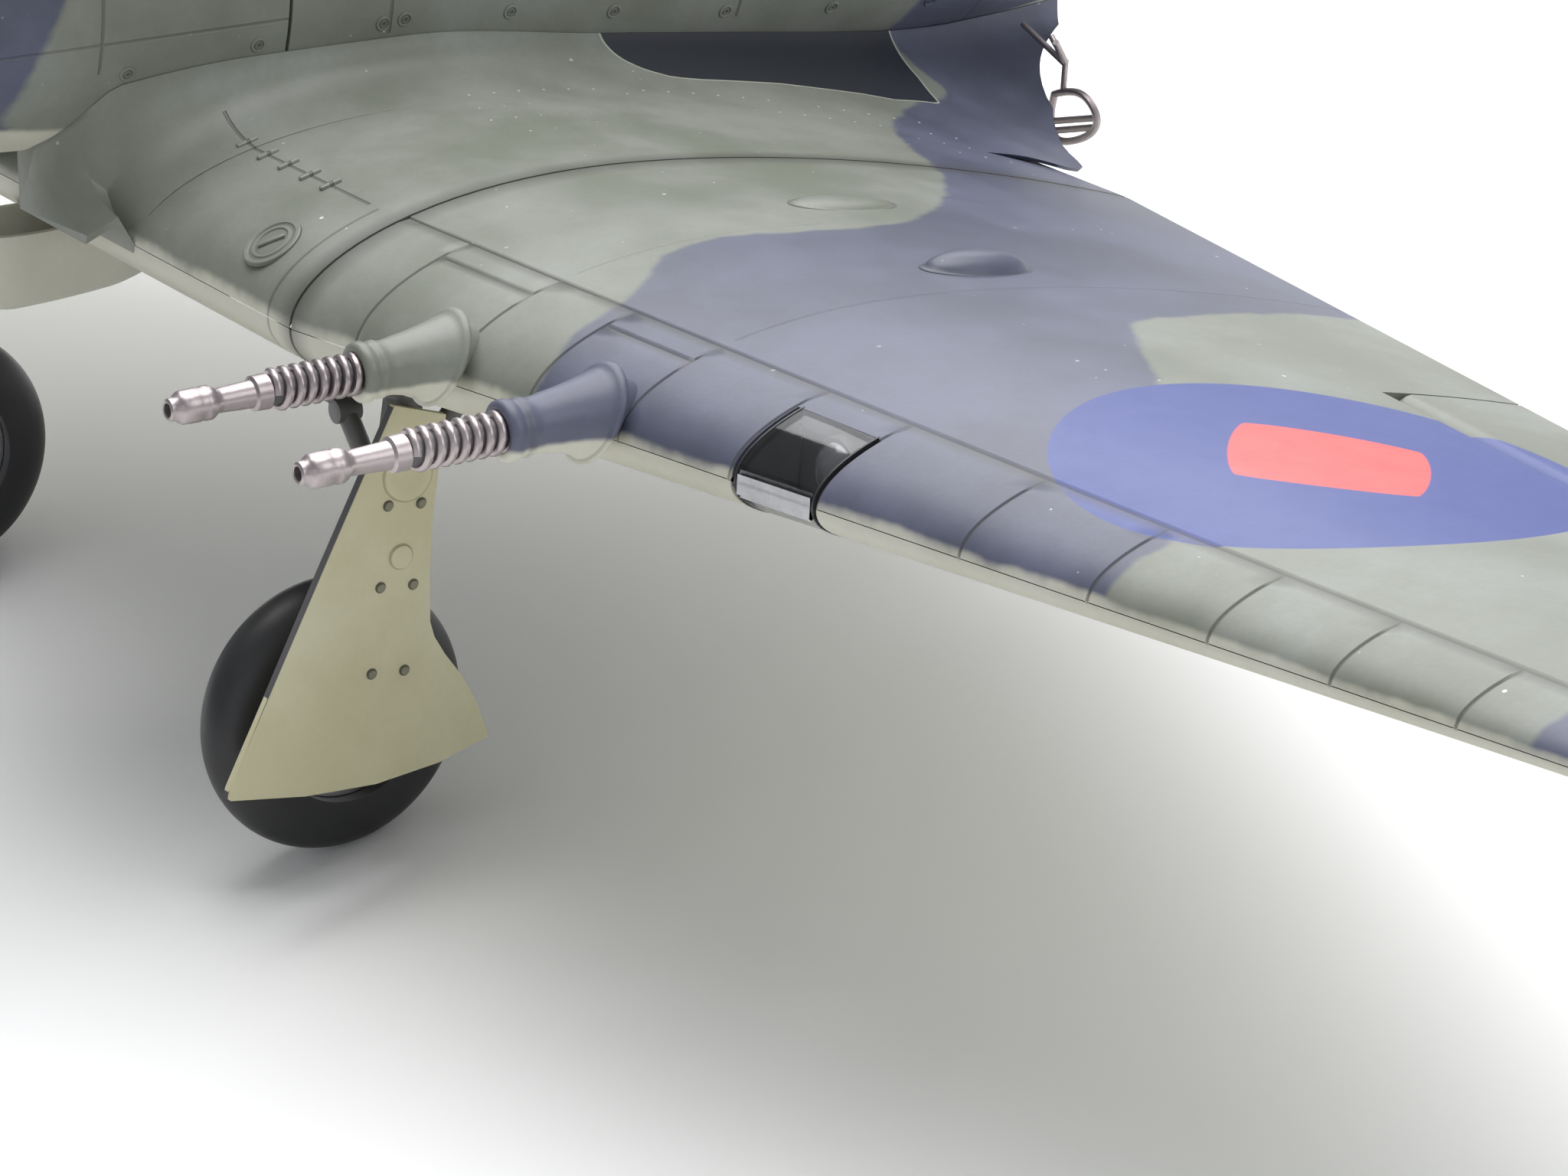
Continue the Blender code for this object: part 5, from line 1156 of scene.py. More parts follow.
for hand, label in ((1, "left"), (-1, "right")):
    for place, x, rise, ahead, reach in GUNS:
        leading, _, chord_z = (float(v) for v in wing_line(x))
        centre = Vector((hand * x, 0.0, chord_z + rise))
        tip, mouth = ROOT_LEADING - ahead, leading - reach
        spring = tip + 0.53 * (mouth - tip)
        nut = tip + 3.4
        profile = [(tip + 1.2, 0.01), (tip + 1.2, 0.42), (tip + 0.05, 0.50), (tip, 0.62),
                   (tip + 0.12, 0.78), (tip + 0.6, 0.84), (tip + 0.75, 1.02), (tip + 1.0, 1.16),
                   (nut - 1.2, 1.2), (nut - 0.9, 1.13), (nut - 0.7, 1.2), (nut - 0.25, 1.2),
                   (nut, 1.06), (nut + 0.25, 0.86), (nut + 0.6, 0.86), (spring - 1.3, 0.98),
                   (spring - 1.15, 1.22), (spring - 0.1, 1.25), (spring, 1.12),
                   (spring + 0.1, 1.0), (leading - 2.0, 1.0), (leading - 2.0, 0.01)]
        barrel = turned(f"gun_barrel_{place}_{label}_bright", profile, centre, sides=40)
        coil = helix(spring + 0.2, mouth + 1.0, 8.5, 1.24, 0.31, centre)
        barrel = weld(f"gun_barrel_{place}_{label}_bright", barrel, coil)
        settle(smooth(barrel, 45), "airframe", STEEL, "steel", f"gun_barrel_{place}_{label}")
        # A dark disc at the bottom of the muzzle is painted shade in the bore; the sleeve under the spring
        # is dark steel.
        bore_shade_and_sleeve = weld(f"gun_bore_{place}_{label}",
                    rod("bore_shade_and_sleeve", centre + Vector((0, tip + 0.9, 0)),
                        centre + Vector((0, tip + 1.15, 0)), 0.41),
                    rod("sleeve", centre + Vector((0, spring, 0)),
                        centre + Vector((0, mouth + 1.2, 0)), 1.08))
        settle(smooth(bore_shade_and_sleeve), "airframe", DARK_STEEL, "steel")
        drawn_reach = 7.0
        stretch = reach / drawn_reach
        rings = []
        for along, radius, lean in (
                (1.6, 1.3, 0), (0.12, 1.36, 0), (0.0, 1.5, 0), (0.0, 1.85, 0), (0.22, 2.1, 0),
                (0.7, 2.15, 0), (0.95, 2.02, 0), (1.15, 1.93, 0), (1.35, 2.03, 0), (1.7, 2.06, 0),
                (1.95, 1.93, 0), (2.4, 1.92, 0), (2.9, 1.98, 0), (3.4, 2.09, 0.02),
                (4.0, 2.18, 0.08), (4.6, 2.31, 0.15), (5.2, 2.47, 0.23), (5.8, 2.66, 0.32),
                (6.2, 2.82, 0.38), (6.4, 2.9, 0.42), (6.45, 3.08, 0.44), (6.58, 3.22, 0.46),
                (6.78, 3.26, 0.47), (6.95, 3.16, 0.48), (7.02, 2.95, 0.48), (7.04, 2.6, 0.48),
                (7.6, 2.3, 0.48), (8.6, 1.9, 0.45), (9.8, 1.0, 0.4)):
            a = np.linspace(0.0, 2 * math.pi, 48, endpoint=False)
            rings.append(np.stack([centre.x + radius * np.cos(a),
                                   mouth + along * stretch + lean * radius * np.sin(a),
                                   centre.z + radius * np.sin(a)], -1))
        fairing = loft(f"gun_fairing_{place}_{label}_painted", rings)
        line_z = centre.z - 1.05
        smooth(paint_layers(fairing, lambda p: 1.4 * (line_z - p[:, 2]),
                            lambda p: 0.5 * (np.abs(p[:, 1] - mouth - 1.5) < 0.05)), 60)
        settle(fairing, "airframe", AIRFRAME, "camouflage", f"gun_fairing_{place}_{label}")

# --- Landing lights ------------------------------------------------------------------------------
# A clear window flush in each leading edge, over a dark bay with a round lamp on its back wall and
# a bright reflector in the nose. The window is cemented into a thin dark frame.


def clear_finish(name, tint, rough=0.03):
    made, tree, shader, place = new_material(name)
    shader.inputs["Transmission Weight"].default_value = 1.0
    shader.inputs["IOR"].default_value = 1.3
    smear = use_group(tree, MOTTLING, {"Colour": tint, "Faded": tint, "Fade": 0.2, "Grain": 0.05,
                                       "Dust": 0.1}, {"Place": place})
    tree.links.new(smear.outputs["Colour"], shader.inputs["Base Color"])
    tree.links.new(math_node(tree, "MULTIPLY", smear.outputs["Roughness"], rough / 0.4),
                   shader.inputs["Roughness"])
    return made


CLEAR = clear_finish("clear_glazing", (0.97, 0.98, 0.98))
BLACK = plain_finish("black_plastic", (0.018, 0.018, 0.02), (0.04, 0.04, 0.045), 0.6, 0.4)
REFLECTOR = plain_finish("reflector", (0.30, 0.30, 0.31), (0.62, 0.62, 0.64), 0.8, 1.0, 0.0, 1.0, 0.15)
SILVER = plain_finish("bright_metal", (0.82, 0.82, 0.84), (0.9, 0.9, 0.92), 0.5, 0.3, 0.0, 1.0, 0.22)


def nose_patch(name, inner, outer, top, low, proud, wall, side):
    """Part of the wing's nose between two stations, from c = top above to c = low below."""
    rings = []
    for x in np.linspace(inner, outer, 14):
        upper = np.linspace(math.sqrt(top), 0.0, 14)**2
        lower = np.linspace(0.0, math.sqrt(low), 14)[1:]**2
        skin = [wing_surface(x, upper, 1, proud), wing_surface(x, lower, -1, proud)]
        inside = [wing_surface(x, upper, 1, proud - wall), wing_surface(x, lower, -1, proud - wall)]
        pull = np.array((0.0, wall, 0.0))
        nose = np.concatenate([inside[0] + pull, inside[1] + pull])
        rings.append(np.concatenate([np.concatenate(skin), nose[::-1]]) * (side, 1.0, 1.0))
    return loft(name, rings)


for hand, label in ((1, "left"), (-1, "right")):
    pane = nose_patch(f"landing_light_{label}_clear", 92.5, 100.3, 0.088, 0.088, -0.02, 0.4, hand)
    settle(smooth(pane, 60), "airframe", CLEAR, "glazing", f"landing_light_window_{label}")
    parts = []
    for x in (92.42, 100.22):
        parts.append(nose_patch("frame", x, x + 0.16, 0.09, 0.09, 0.03, 0.9, hand))
    leading, chord, height = (float(v) for v in wing_line(96.4))
    back = leading + 0.092 * chord
    rise = float(half_height(96.4, 0.09))
    mid = float(wing_point(96.4, 0.09, 0.0)[2])
    parts.append(box("back_wall", (hand * 96.4 - 4.0, back - 0.15, mid - rise + 0.3),
                     (hand * 96.4 + 4.0, back + 0.3, mid + rise - 0.1)))
    for x in (92.3, 100.25):
        low, high = min(hand * x, hand * (x + 0.2)), max(hand * x, hand * (x + 0.2))
        c = np.array([0, .004, .015, .04, .07, .09])
        outline = np.concatenate([wing_surface(x, c[::-1], 1, -0.35), wing_surface(x, c[1:], -1, -0.35)])
        parts.append(prism("bay_wall", [(y, z) for _, y, z in outline], low, high, "X"))
    bay = weld(f"landing_light_bay_{label}", *parts)
    settle(bay, "airframe", BLACK, "black_plastic")
    bright = nose_patch(f"landing_light_reflector_{label}", 92.75, 100.05, 0.002, 0.05, -0.85, 0.25,
                        hand)
    settle(smooth(bright, 60), "airframe", REFLECTOR, "white_metal")
    lamp = Vector((hand * 97.2, back - 0.1, mid + 0.4))
    rings = [(-0.0, 2.3), (-0.5, 2.3), (-0.62, 2.2), (-0.62, 2.05), (-0.45, 2.0)]
    rings += [(-0.45 - 1.3 * math.cos(a), 1.95 * math.sin(a))
              for a in np.radians((84, 72, 58, 44, 30, 16, 2))]
    dome = turned(f"landing_lamp_{label}", rings, lamp, sides=40)
    settle(smooth(dome), "airframe", LAMP, "glazing")

# --- Main undercarriage --------------------------------------------------------------------------
# A sprung leg on a raked trunnion, with its side stay, its plated cover, and a foam tyre on a
# turned hub. The leg's pieces turn together about the trunnion, the stay about its own foot.
PIVOT, FOOT_X, WHEEL = Vector((40.0, 75.0, -24.6)), 40.1, Vector((35.4, 70.2, -54.6))
AXIS = Vector((0.256, 0.932, -0.256)).normalized()
RUBBER = plain_finish("tyre_rubber", (0.012, 0.012, 0.013), (0.028, 0.028, 0.03), 0.6, 0.5)
LEG_PAINT = plain_finish("leg_paint", (0.10, 0.10, 0.095), (0.19, 0.185, 0.17), 0.7, 0.6)
COVER = plain_finish("cover_paint", (0.56, 0.525, 0.335), (0.66, 0.63, 0.45), 0.9, 0.25)


def arc_tyre(radius, half_width, inner, steps=40):
    profile = []
    for k in range(steps + 1):
        a = math.pi * (k / steps - 0.5)
        profile.append((half_width * math.sin(a),
                        inner + (radius - inner) * max(0.0, math.cos(a))**0.75))
    return profile


for hand, label in ((1, "left"), (-1, "right")):
    mirror = Vector((hand, 1.0, 1.0))
    pivot, wheel, axis = PIVOT * mirror, WHEEL * mirror, AXIS * mirror
    foot = Vector((hand * FOOT_X, wheel.y, wheel.z))
    down = (foot - pivot).normalized()
    middle = pivot.lerp(foot, 0.55)
    parts = [rod("leg", pivot - down * 0.2, middle, 1.5, bevel=0.15),
             rod("collar", middle - down * 0.9, middle + down * 0.25, 1.72, bevel=0.2),
             rod("collar", pivot + down * 3.2, pivot + down * 4.2, 1.7, bevel=0.2),
             rod("oleo", middle - down, foot - down * 0.4, 1.05),
             rod("trunnion", pivot - axis * 2.0, pivot + axis * 7.0, 1.2, bevel=0.15),
             rod("axle", foot + Vector((hand * 0.9, 0, 0)), Vector((hand * 31.6, wheel.y, wheel.z)),
                 0.9, bevel=0.1),
             rod("drag_strut", pivot.lerp(foot, 0.42), pivot + axis * 6.2, 0.8, bevel=0.1),
             rod("foot_boss", foot + Vector((hand, 0, 0)), foot - Vector((hand * 1.2, 0, 0)),
                 1.6, bevel=0.25)]
    aft = Vector((0.0, 1.9, 0.35))
    knee = middle.lerp(foot, 0.5) + aft * 1.35
    parts += [rod("link", middle + down * 0.4 + aft * 0.5, knee, 0.42, sides=12),
              rod("link", knee, foot - down * 1.4 + aft * 0.45, 0.42, sides=12),
              rod("knee_pin", knee - Vector((0.8, 0, 0)), knee + Vector((0.8, 0, 0)), 0.3, sides=12)]
    leg = weld(f"gear_leg_{label}_finished", *parts)
    settle(smooth(leg), f"leg_{label}", LEG_PAINT, "underside", f"gear_leg_{label}")

    outline = ((72.2, -28.4), (76.6, -29.9), (75.4, -37.0), (75.0, -42.0), (74.95, -46.0),
               (75.3, -47.3), (76.2, -48.9), (77.6, -50.9), (78.9, -53.4), (79.9, -56.4),
               (75.5, -57.6), (70.0, -58.1), (64.0, -57.7), (57.7, -56.6), (57.4, -56.2),
               (57.6, -55.6), (66.2, -39.5))
    inside, outside = sorted((hand * 41.7, hand * 42.4))
    plate = prism(f"leg_cover_{label}_plate", outline, inside, outside, "X")
    rim = plate.modifiers.new("rim", "BEVEL")
    rim.width, rim.segments, rim.limit_method = 0.08, 2, "ANGLE"
    only(plate)
    bpy.ops.object.modifier_apply(modifier="rim")
    settle(smooth(plate), f"leg_{label}", COVER, "underside", f"leg_cover_{label}")
    edge_line = [(57.45, -56.3), (66.25, -39.6), (72.25, -28.5), (72.05, -28.6), (66.0, -39.75),
                 (57.25, -56.35)]
    lip = prism(f"leg_cover_{label}_edge", edge_line, inside, outside - max(0, hand) * 0.02, "X")
    settle(lip, f"leg_{label}", DARK_STEEL, "underside")
    face = (hand, 0.0, 0.0)
    at = lambda y, z: (Vector((hand * 42.4, y, z)), face)
    bolts = [at(*spot) for spot in ((71.5, -36.1), (74.3, -36.4), (70.7, -42.4), (73.5, -42.7),
                                    (69.8, -49.1), (72.6, -49.4))]
    # The bolts and pads are painted dark round their feet as shade.
    bolts = studs(f"leg_cover_{label}_bolts", bolts,
                  ((0.46, -0.1, 1), (0.45, 0.02, 1), (0.34, 0.02, 0.8), (0.32, 0.2, 0),
                   (0.2, 0.26, 0), (0.05, 0.26, 0)))
    settle(smooth(bolts), f"leg_{label}", COVER_BOLT, "underside")
    pads = studs(f"leg_cover_{label}_pads", [at(73.2, -34.0)],
                 ((2.15, -0.3, 0.7), (2.13, 0.02, 0.7), (2.0, 0.02, 0.3), (1.95, 0.16, 0.0),
                  (1.7, 0.2, 0.0), (1.2, 0.1, 0.1), (0.1, 0.06, 0.1)), 40)
    small = studs("pad", [at(72.5, -40.3)],
                  ((1.05, -0.3, 0.7), (1.03, 0.02, 0.7), (0.92, 0.02, 0.4), (0.88, 0.2, 0.0),
                   (0.6, 0.26, 0.0), (0.1, 0.26, 0.0)), 28)
    settle(smooth(weld(f"leg_cover_{label}_pads", pads, small)), f"leg_{label}", COVER,
           "underside")

    low = Vector((37.2, 72.8, -34.6))
    stay_foot, fork = low * mirror, Vector((34.9, 72.3, -30.9)) * mirror
    parts = [rod("stay", stay_foot, fork, 0.8, bevel=0.1)]
    for head in ((32.2, 70.4, -27.9), (32.2, 74.0, -27.9)):
        parts.append(rod("arm", fork, Vector(head) * mirror, 0.62, bevel=0.08))
    parts.append(rod("fork_boss", fork - Vector((0, 1.0, 0)), fork + Vector((0, 1.0, 0)), 0.95,
                     bevel=0.1))
    stay = weld(f"side_stay_{label}_finished", *parts)
    settle(smooth(stay), f"stay_{label}", LEG_PAINT, "black_plastic", f"side_stay_{label}")

    tyre = turned(f"tyre_{label}_rubber", arc_tyre(10.9, 3.0, 6.3), wheel, "X", 112, closed=True)
    settle(smooth(tyre), f"wheel_{label}", RUBBER, "tyre_rubber", f"tyre_{label}")
    hub = [(-3.0, 1.2), (-3.0, 2.3), (-2.9, 2.4), (-1.6, 2.6), (-0.9, 3.1), (-1.1, 4.6),
           (-1.5, 5.4), (-1.8, 5.6), (-1.8, 6.25), (1.8, 6.25), (1.8, 5.6), (1.5, 5.4), (1.1, 4.6),
           (0.9, 3.1), (1.6, 2.6), (2.9, 2.4), (3.0, 2.3), (3.0, 1.2)]
    hub = turned(f"wheel_hub_{label}_turned", hub, wheel, "X", 64, closed=True)
    settle(smooth(hub), f"wheel_{label}", SILVER, "white_metal", f"wheel_hub_{label}")
    # Black discs on the hub's faces stand for its holes: painted shade in place of hollows.
    for face_x, way in ((1.02, 1.0), (-1.02, -1.0)):
        spots = []
        for k in range(5):
            a = 2 * math.pi * k / 5 + 0.3
            spots.append((wheel + Vector((face_x, 4.05 * math.cos(a), 4.05 * math.sin(a))),
                          (way, 0, 0)))
        hole_shade_discs = studs(f"wheel_hub_{label}_holes_{'out' if way > 0 else 'in'}", spots,
                      ((0.72, -0.2, 0), (0.70, 0.04, 0), (0.6, 0.05, 0), (0.1, 0.05, 0)))
        settle(smooth(hole_shade_discs), f"wheel_{label}", BLACK, "white_metal")

# --- Cockpit, windscreen and canopy --------------------------------------------------------------
# Clear mouldings with painted frames over an open cockpit: a fixed windscreen, and a canopy that
# slides aft on the sills. The tub holds a seat, a dial panel and a stick, glued in.
SILL, CANOPY_HALF_WIDTH = 16.1, 10.7
CANOPY_TOPS = ((116.8, 31.4), (124.0, 32.0), (135.0, 31.4), (146.6, 29.6))
SCREEN_TOPS = ((101.5, 19.6), (106.5, 25.0), (111.0, 29.2), (116.5, 31.3))
COCKPIT = plain_finish("cockpit_green", (0.19, 0.23, 0.15), (0.25, 0.29, 0.2), 0.6, 0.4)


def glazed(tops, stations, angles, proud):
    """Rows of points on a glazed hood, over stations and angles round it."""
    rings = []
    for y in stations:
        top = float(np.interp(y, [t[0] for t in tops], [t[1] for t in tops]))
        a = np.radians(angles)
        rings.append(np.stack([(CANOPY_HALF_WIDTH + proud) * np.cos(a), np.full(len(a), y),
                               SILL + (top - SILL + proud) * np.maximum(0.0, np.sin(a))**0.85], -1))
    return np.array(rings)


def hood_patch(name, tops, front, back, start, stop, proud, wall):
    stations = np.linspace(front, back, max(2, int((back - front) / 1.5) + 1))
    angles = np.linspace(start, stop, max(3, int((stop - start) / 3) + 1))
    outer = glazed(tops, stations, angles, proud)
    inner = glazed(tops, stations, angles, proud - wall)[:, ::-1]
    return loft(name, np.concatenate([outer, inner], 1))


def hood(name, tops, bars, hoops):
    """A clear hood and the painted bars along it and hoops across it."""
    glass = hood_patch(f"{name}_clear", tops, tops[0][0], tops[-1][0], 0, 180, 0.0, 0.6)
    front, back = tops[0][0], tops[-1][0]
    frames = [hood_patch("frame", tops, a, b, 0, 180, 0.14, 0.9) for a, b in hoops]
    frames += [hood_patch("frame", tops, front, back, a, b, 0.14, 0.9) for a, b in bars]
    return glass, weld(f"{name}_frame", *frames)


glass, frame_bars = hood("canopy", CANOPY_TOPS,
                         ((0, 7), (173, 180), (46, 50), (130, 134), (88, 92)),
                         ((116.8, 118.0), (126.2, 127.1), (135.6, 136.5), (145.2, 146.6)))
settle(smooth(glass, 60), "canopy", CLEAR, "glazing", "canopy")
paint_layers(frame_bars, -9.0)
settle(smooth(frame_bars, 40), "canopy", BODY_PAINT, "camouflage")
glass, frame_bars = hood("windscreen", SCREEN_TOPS,
                         ((0, 10), (170, 180), (56, 61), (119, 124)),
                         ((101.5, 102.6), (115.4, 116.5)))
cutter = loft("body_cutter", [body_ring(y, -0.1) for y in np.linspace(96, 122, 14)])
cut(glass, cutter, keep_tool=True)
cut(frame_bars, cutter)
settle(smooth(glass, 60), "airframe", CLEAR, "glazing", "windscreen")
paint_layers(frame_bars, -9.0)
settle(smooth(frame_bars, 40), "airframe", BODY_PAINT, "camouflage")

seat = [box("pan", (-4.6, 126.0, -1.0), (4.6, 134.0, 0.4), 0.4),
        box("back", (-4.8, 133.4, -0.5), (4.8, 135.0, 15.0), 0.6),
        box("side", (-5.2, 126.5, -0.5), (-4.4, 134.8, 4.5), 0.3),
        box("side", (4.4, 126.5, -0.5), (5.2, 134.8, 4.5), 0.3),
        box("post", (-1.5, 128.0, -5.4), (1.5, 132.0, -0.8), 0.2)]
settle(smooth(weld("cockpit_seat", *seat)), "airframe", COCKPIT, "cockpit_green")
pad = box("headrest", (-2.6, 135.2, 13.0), (2.6, 137.6, 20.5), 0.9)
settle(smooth(pad), "airframe", BLACK, "black_plastic")
panel = box("dial_panel", (-8.4, 106.2, 3.0), (8.4, 107.2, 15.2), 0.2)
settle(smooth(panel), "airframe", BLACK, "black_plastic")
dials = [((x, 107.2, z), (0, 1, 0)) for z in (6.2, 10.2) for x in (-6.3, -3.15, 0.0, 3.15, 6.3)]
dials += [((x, 107.2, 13.4), (0, 1, 0)) for x in (-4.2, -1.4, 1.4, 4.2)]
dials = studs("dials", dials, ((1.15, -0.2, 0), (1.12, 0.16, 0), (0.98, 0.2, 0), (0.94, 0.06, 0),
                               (0.05, 0.05, 0)), 24)
settle(smooth(dials), "airframe", DARK_STEEL, "steel")
stick = weld("control_stick", rod("stick", (0, 118.5, -5.2), (0, 117.8, 4.5), 0.45, bevel=0.1),
             wire("grip", [(1.2 * math.cos(a), 117.7, 6.0 + 1.5 * math.sin(a))
                           for a in np.linspace(0, 2 * math.pi, 25)[:-1]], 0.35, True, 2, 0))
settle(smooth(stick), "airframe", BLACK, "black_plastic")

# --- Propeller and spinner -----------------------------------------------------------------------
# Three twisted black blades with yellow tips on a hub, pressed on the shaft under a pointed
# spinner. The nylon wheel and the pinion behind it stay as they were cut.


def prop_finish():
    made, tree, shader, place = new_material("propeller_black")
    base = use_group(tree, MOTTLING, {"Colour": (0.018, 0.018, 0.019), "Faded": (0.04, 0.04, 0.042),
                                      "Fade": 0.6, "Grain": 0.5, "Dust": 0.1}, {"Place": place})
    spot = node(tree, "SeparateXYZ", (), {0: place})
    disc = node(tree, "CombineXYZ", (), {0: spot.outputs[0], 1: spot.outputs[2]})
    reach = node(tree, "VectorMath", (), {0: disc.outputs[0]}, operation="LENGTH").outputs["Value"]
    tip = ramp(tree, reach, 48.4, 48.7)
    tree.links.new(blend_colour(tree, tip, base.outputs["Colour"], (0.72, 0.42, 0.03)),
                   shader.inputs["Base Color"])
    tree.links.new(base.outputs["Roughness"], shader.inputs["Roughness"])
    raise_bump(tree, shader, base.outputs["Height"])
    return made


PROP = prop_finish()
BLADE = ((0.05, 4.0, 3.6, 70), (0.16, 4.4, 3.4, 62), (0.3, 8.6, 2.4, 48), (0.5, 10.2, 1.7, 36),
         (0.72, 9.6, 1.2, 28), (0.9, 7.0, 0.9, 23), (0.98, 3.6, 0.7, 21), (1.0, 1.2, 0.5, 21))
parts = [turned("hub", [(10, 1.05), (10, 4.4), (10.2, 4.6), (15.8, 4.6), (16, 4.4), (16, 1.05)],
                (0, 0, 0), sides=48, closed=True)]
cone = turned("spinner_shell", [(0.0, 0.0), (0.15, 0.9), (0.7, 2.5), (1.6, 3.85), (3, 5.2), (5, 6.6),
                                (7, 7.7), (9.5, 8.75), (12, 9.5), (14.5, 10.1), (17, 10.5),
                                (19.5, 10.75), (21.6, 10.88), (22, 10.8), (22, 3), (21.2, 3),
                                (21.2, 10.1), (17, 9.7), (12, 8.7), (7, 6.8), (3.8, 4.4),
                                (2.2, 0.0)], (0, 0, 0), sides=96)
for k in range(3):
    turn = Matrix.Rotation(math.pi / 2 + 2 * math.pi * k / 3, 4, "Y")
    rings = []
    for share in (.05, .09, .13, .16, .2, .24, .28, .33, .39, .45, .52, .59, .66, .73, .8, .86, .9,
                  .93, .96, .98, .992, 1.0):
        chord, thick, angle = eased(BLADE, share)
        pitch, ring = math.radians(angle), []
        for j in range(28):
            a = 2 * math.pi * j / 28
            along, across = chord / 2 * math.cos(a), thick / 2 * math.sin(a)
            ring.append(turn @ Vector((share * 53.5,
                                       13 + along * math.sin(pitch) + across * math.cos(pitch),
                                       along * math.cos(pitch) - across * math.sin(pitch))))
        rings.append(ring)
    parts.append(loft("blade", rings))
    cut(cone, rod("port", turn @ Vector((5.4, 13, 0)), turn @ Vector((13, 13, 0)), 3.4, sides=40))
settle(smooth(weld("propeller_blades", *parts), 40), "propeller", PROP, "black_plastic", "propeller")
settle(smooth(cone), "propeller", BLACK, "black_plastic", "spinner")

# --- Tail ----------------------------------------------------------------------------------------
# Tailplane and fin moulded thin and glued to the fuselage. Elevator and rudder have round noses
# on their hinge lines and horns for the pushrods.


def tail_section(place, leading, trailing, thick, blunt):
    steps = np.array([0, .01, .03, .07, .13, .2, .3, .42, .55, .7, .85, 1.0])
    nose = np.interp(steps, (0, .01, .04, .15, .4, .7, 1.0), (0, .22, .45, .82, 1.0, .95, .85))
    rise = nose if blunt else np.interp(steps, (0, .01, .04, .15, .4, .7, 1), (0, .22, .45, .82, 1, .6, .1))
    upper = [place(leading + c * (trailing - leading), thick / 2 * r) for c, r in zip(steps, rise)]
    lower = [place(leading + c * (trailing - leading), -thick / 2 * r) for c, r in zip(steps, rise)]
    return upper + lower[:0:-1]


def level(points):
    """Above the tailplane's middle is camouflage, below it is underside."""
    return 9.0 * (6.6 - points[:, 2])


PLANE = ((0, 251, 3.4), (40, 258, 2.8), (49, 261.5, 2.2), (52, 266, 1.6))
rings = []
for x in np.concatenate([-np.array(skin_columns(0.0, 52.0, 1.6))[::-1], skin_columns(0.0, 52.0, 1.6)[1:]]):
    leading, thick = eased(PLANE, abs(x))
    rings.append(tail_section(lambda y, up: (x, y, 7.0 + up), leading, 276.5, thick, True))
made = loft("tailplane_painted", rings)
settle(smooth(paint_layers(made, level), 50), "airframe", BODY_PAINT, "camouflage", "tailplane")

halves = [rod("joiner", (-8, 278.5, 7), (8, 278.5, 7), 0.9)]
ELEVATOR = ((5.0, 291.5, 1.4), (9.5, 293.5, 1.4), (40, 291.5, 1.2), (49, 288.0, 1.0), (52, 283.5, 0.7))
for hand in (1, -1):
    rings = []
    for x in np.linspace(5.0, 52.0, 40):
        trailing, radius = eased(ELEVATOR, x)
        a = np.radians(np.linspace(-90, 90, 13))
        nose = [(hand * x, 278.5 - radius * math.cos(v), 7 + radius * math.sin(v)) for v in a]
        steps = np.linspace(0.1, 1.0, 8)
        rise = radius + (0.3 - radius) * steps
        back = [(hand * x, 278.5 + s * (trailing - 278.5), 7 + r) for s, r in zip(steps, rise)]
        low = [(hand * x, 278.5 + s * (trailing - 278.5), 7 - r)
               for s, r in zip(steps[::-1], rise[::-1])]
        rings.append(nose + back + low)
    halves.append(loft("half", rings))
halves.append(box("horn", (5.2, 277.3, 1.0), (6.0, 279.7, 6.5), 0.15))
made = weld("elevator_painted", *halves)
settle(smooth(paint_layers(made, level), 40), "elevator", BODY_PAINT, "camouflage", "elevator")

FIN = ((9.5, 246, 3.4), (18, 256, 3.2), (30, 264, 2.6), (37, 270, 2.2), (40.5, 276, 1.6))
rings = []
for z in np.linspace(9.5, 40.5, 26):
    leading, thick = eased(FIN, z)
    rings.append(tail_section(lambda y, up: (up, y, z), leading, 282.4, thick, True))
made = loft("fin_painted", rings)
settle(smooth(paint_layers(made, -9.0), 50), "airframe", BODY_PAINT, "camouflage", "fin")

RUDDER = ((-4.5, 0.9, 290), (-1, 1.3, 296), (8, 1.5, 303), (18, 1.5, 306.5), (28, 1.3, 305),
          (36, 1.1, 299), (40.5, 0.9, 291), (42, 0.7, 288))
rings = []
for z in np.linspace(-4.5, 42.0, 44):
    radius, trailing = eased(RUDDER, z)
    a = np.radians(np.linspace(-90, 90, 13))
    nose = [(radius * math.sin(v), 284.5 - radius * math.cos(v), z) for v in a]
    steps = np.linspace(0.1, 1.0, 8)
    wide = radius + (0.3 - radius) * steps
    one = [(w, 284.5 + s * (trailing - 284.5), z) for s, w in zip(steps, wide)]
    two = [(-w, 284.5 + s * (trailing - 284.5), z) for s, w in zip(steps[::-1], wide[::-1])]
    rings.append(nose + one + two)
rudder = weld("rudder_painted", loft("blade", rings), box("horn", (-6, 283.9, -.4), (0, 285.3, .5), .15))
settle(smooth(paint_layers(rudder, -9.0), 40), "rudder", BODY_PAINT, "camouflage", "rudder")

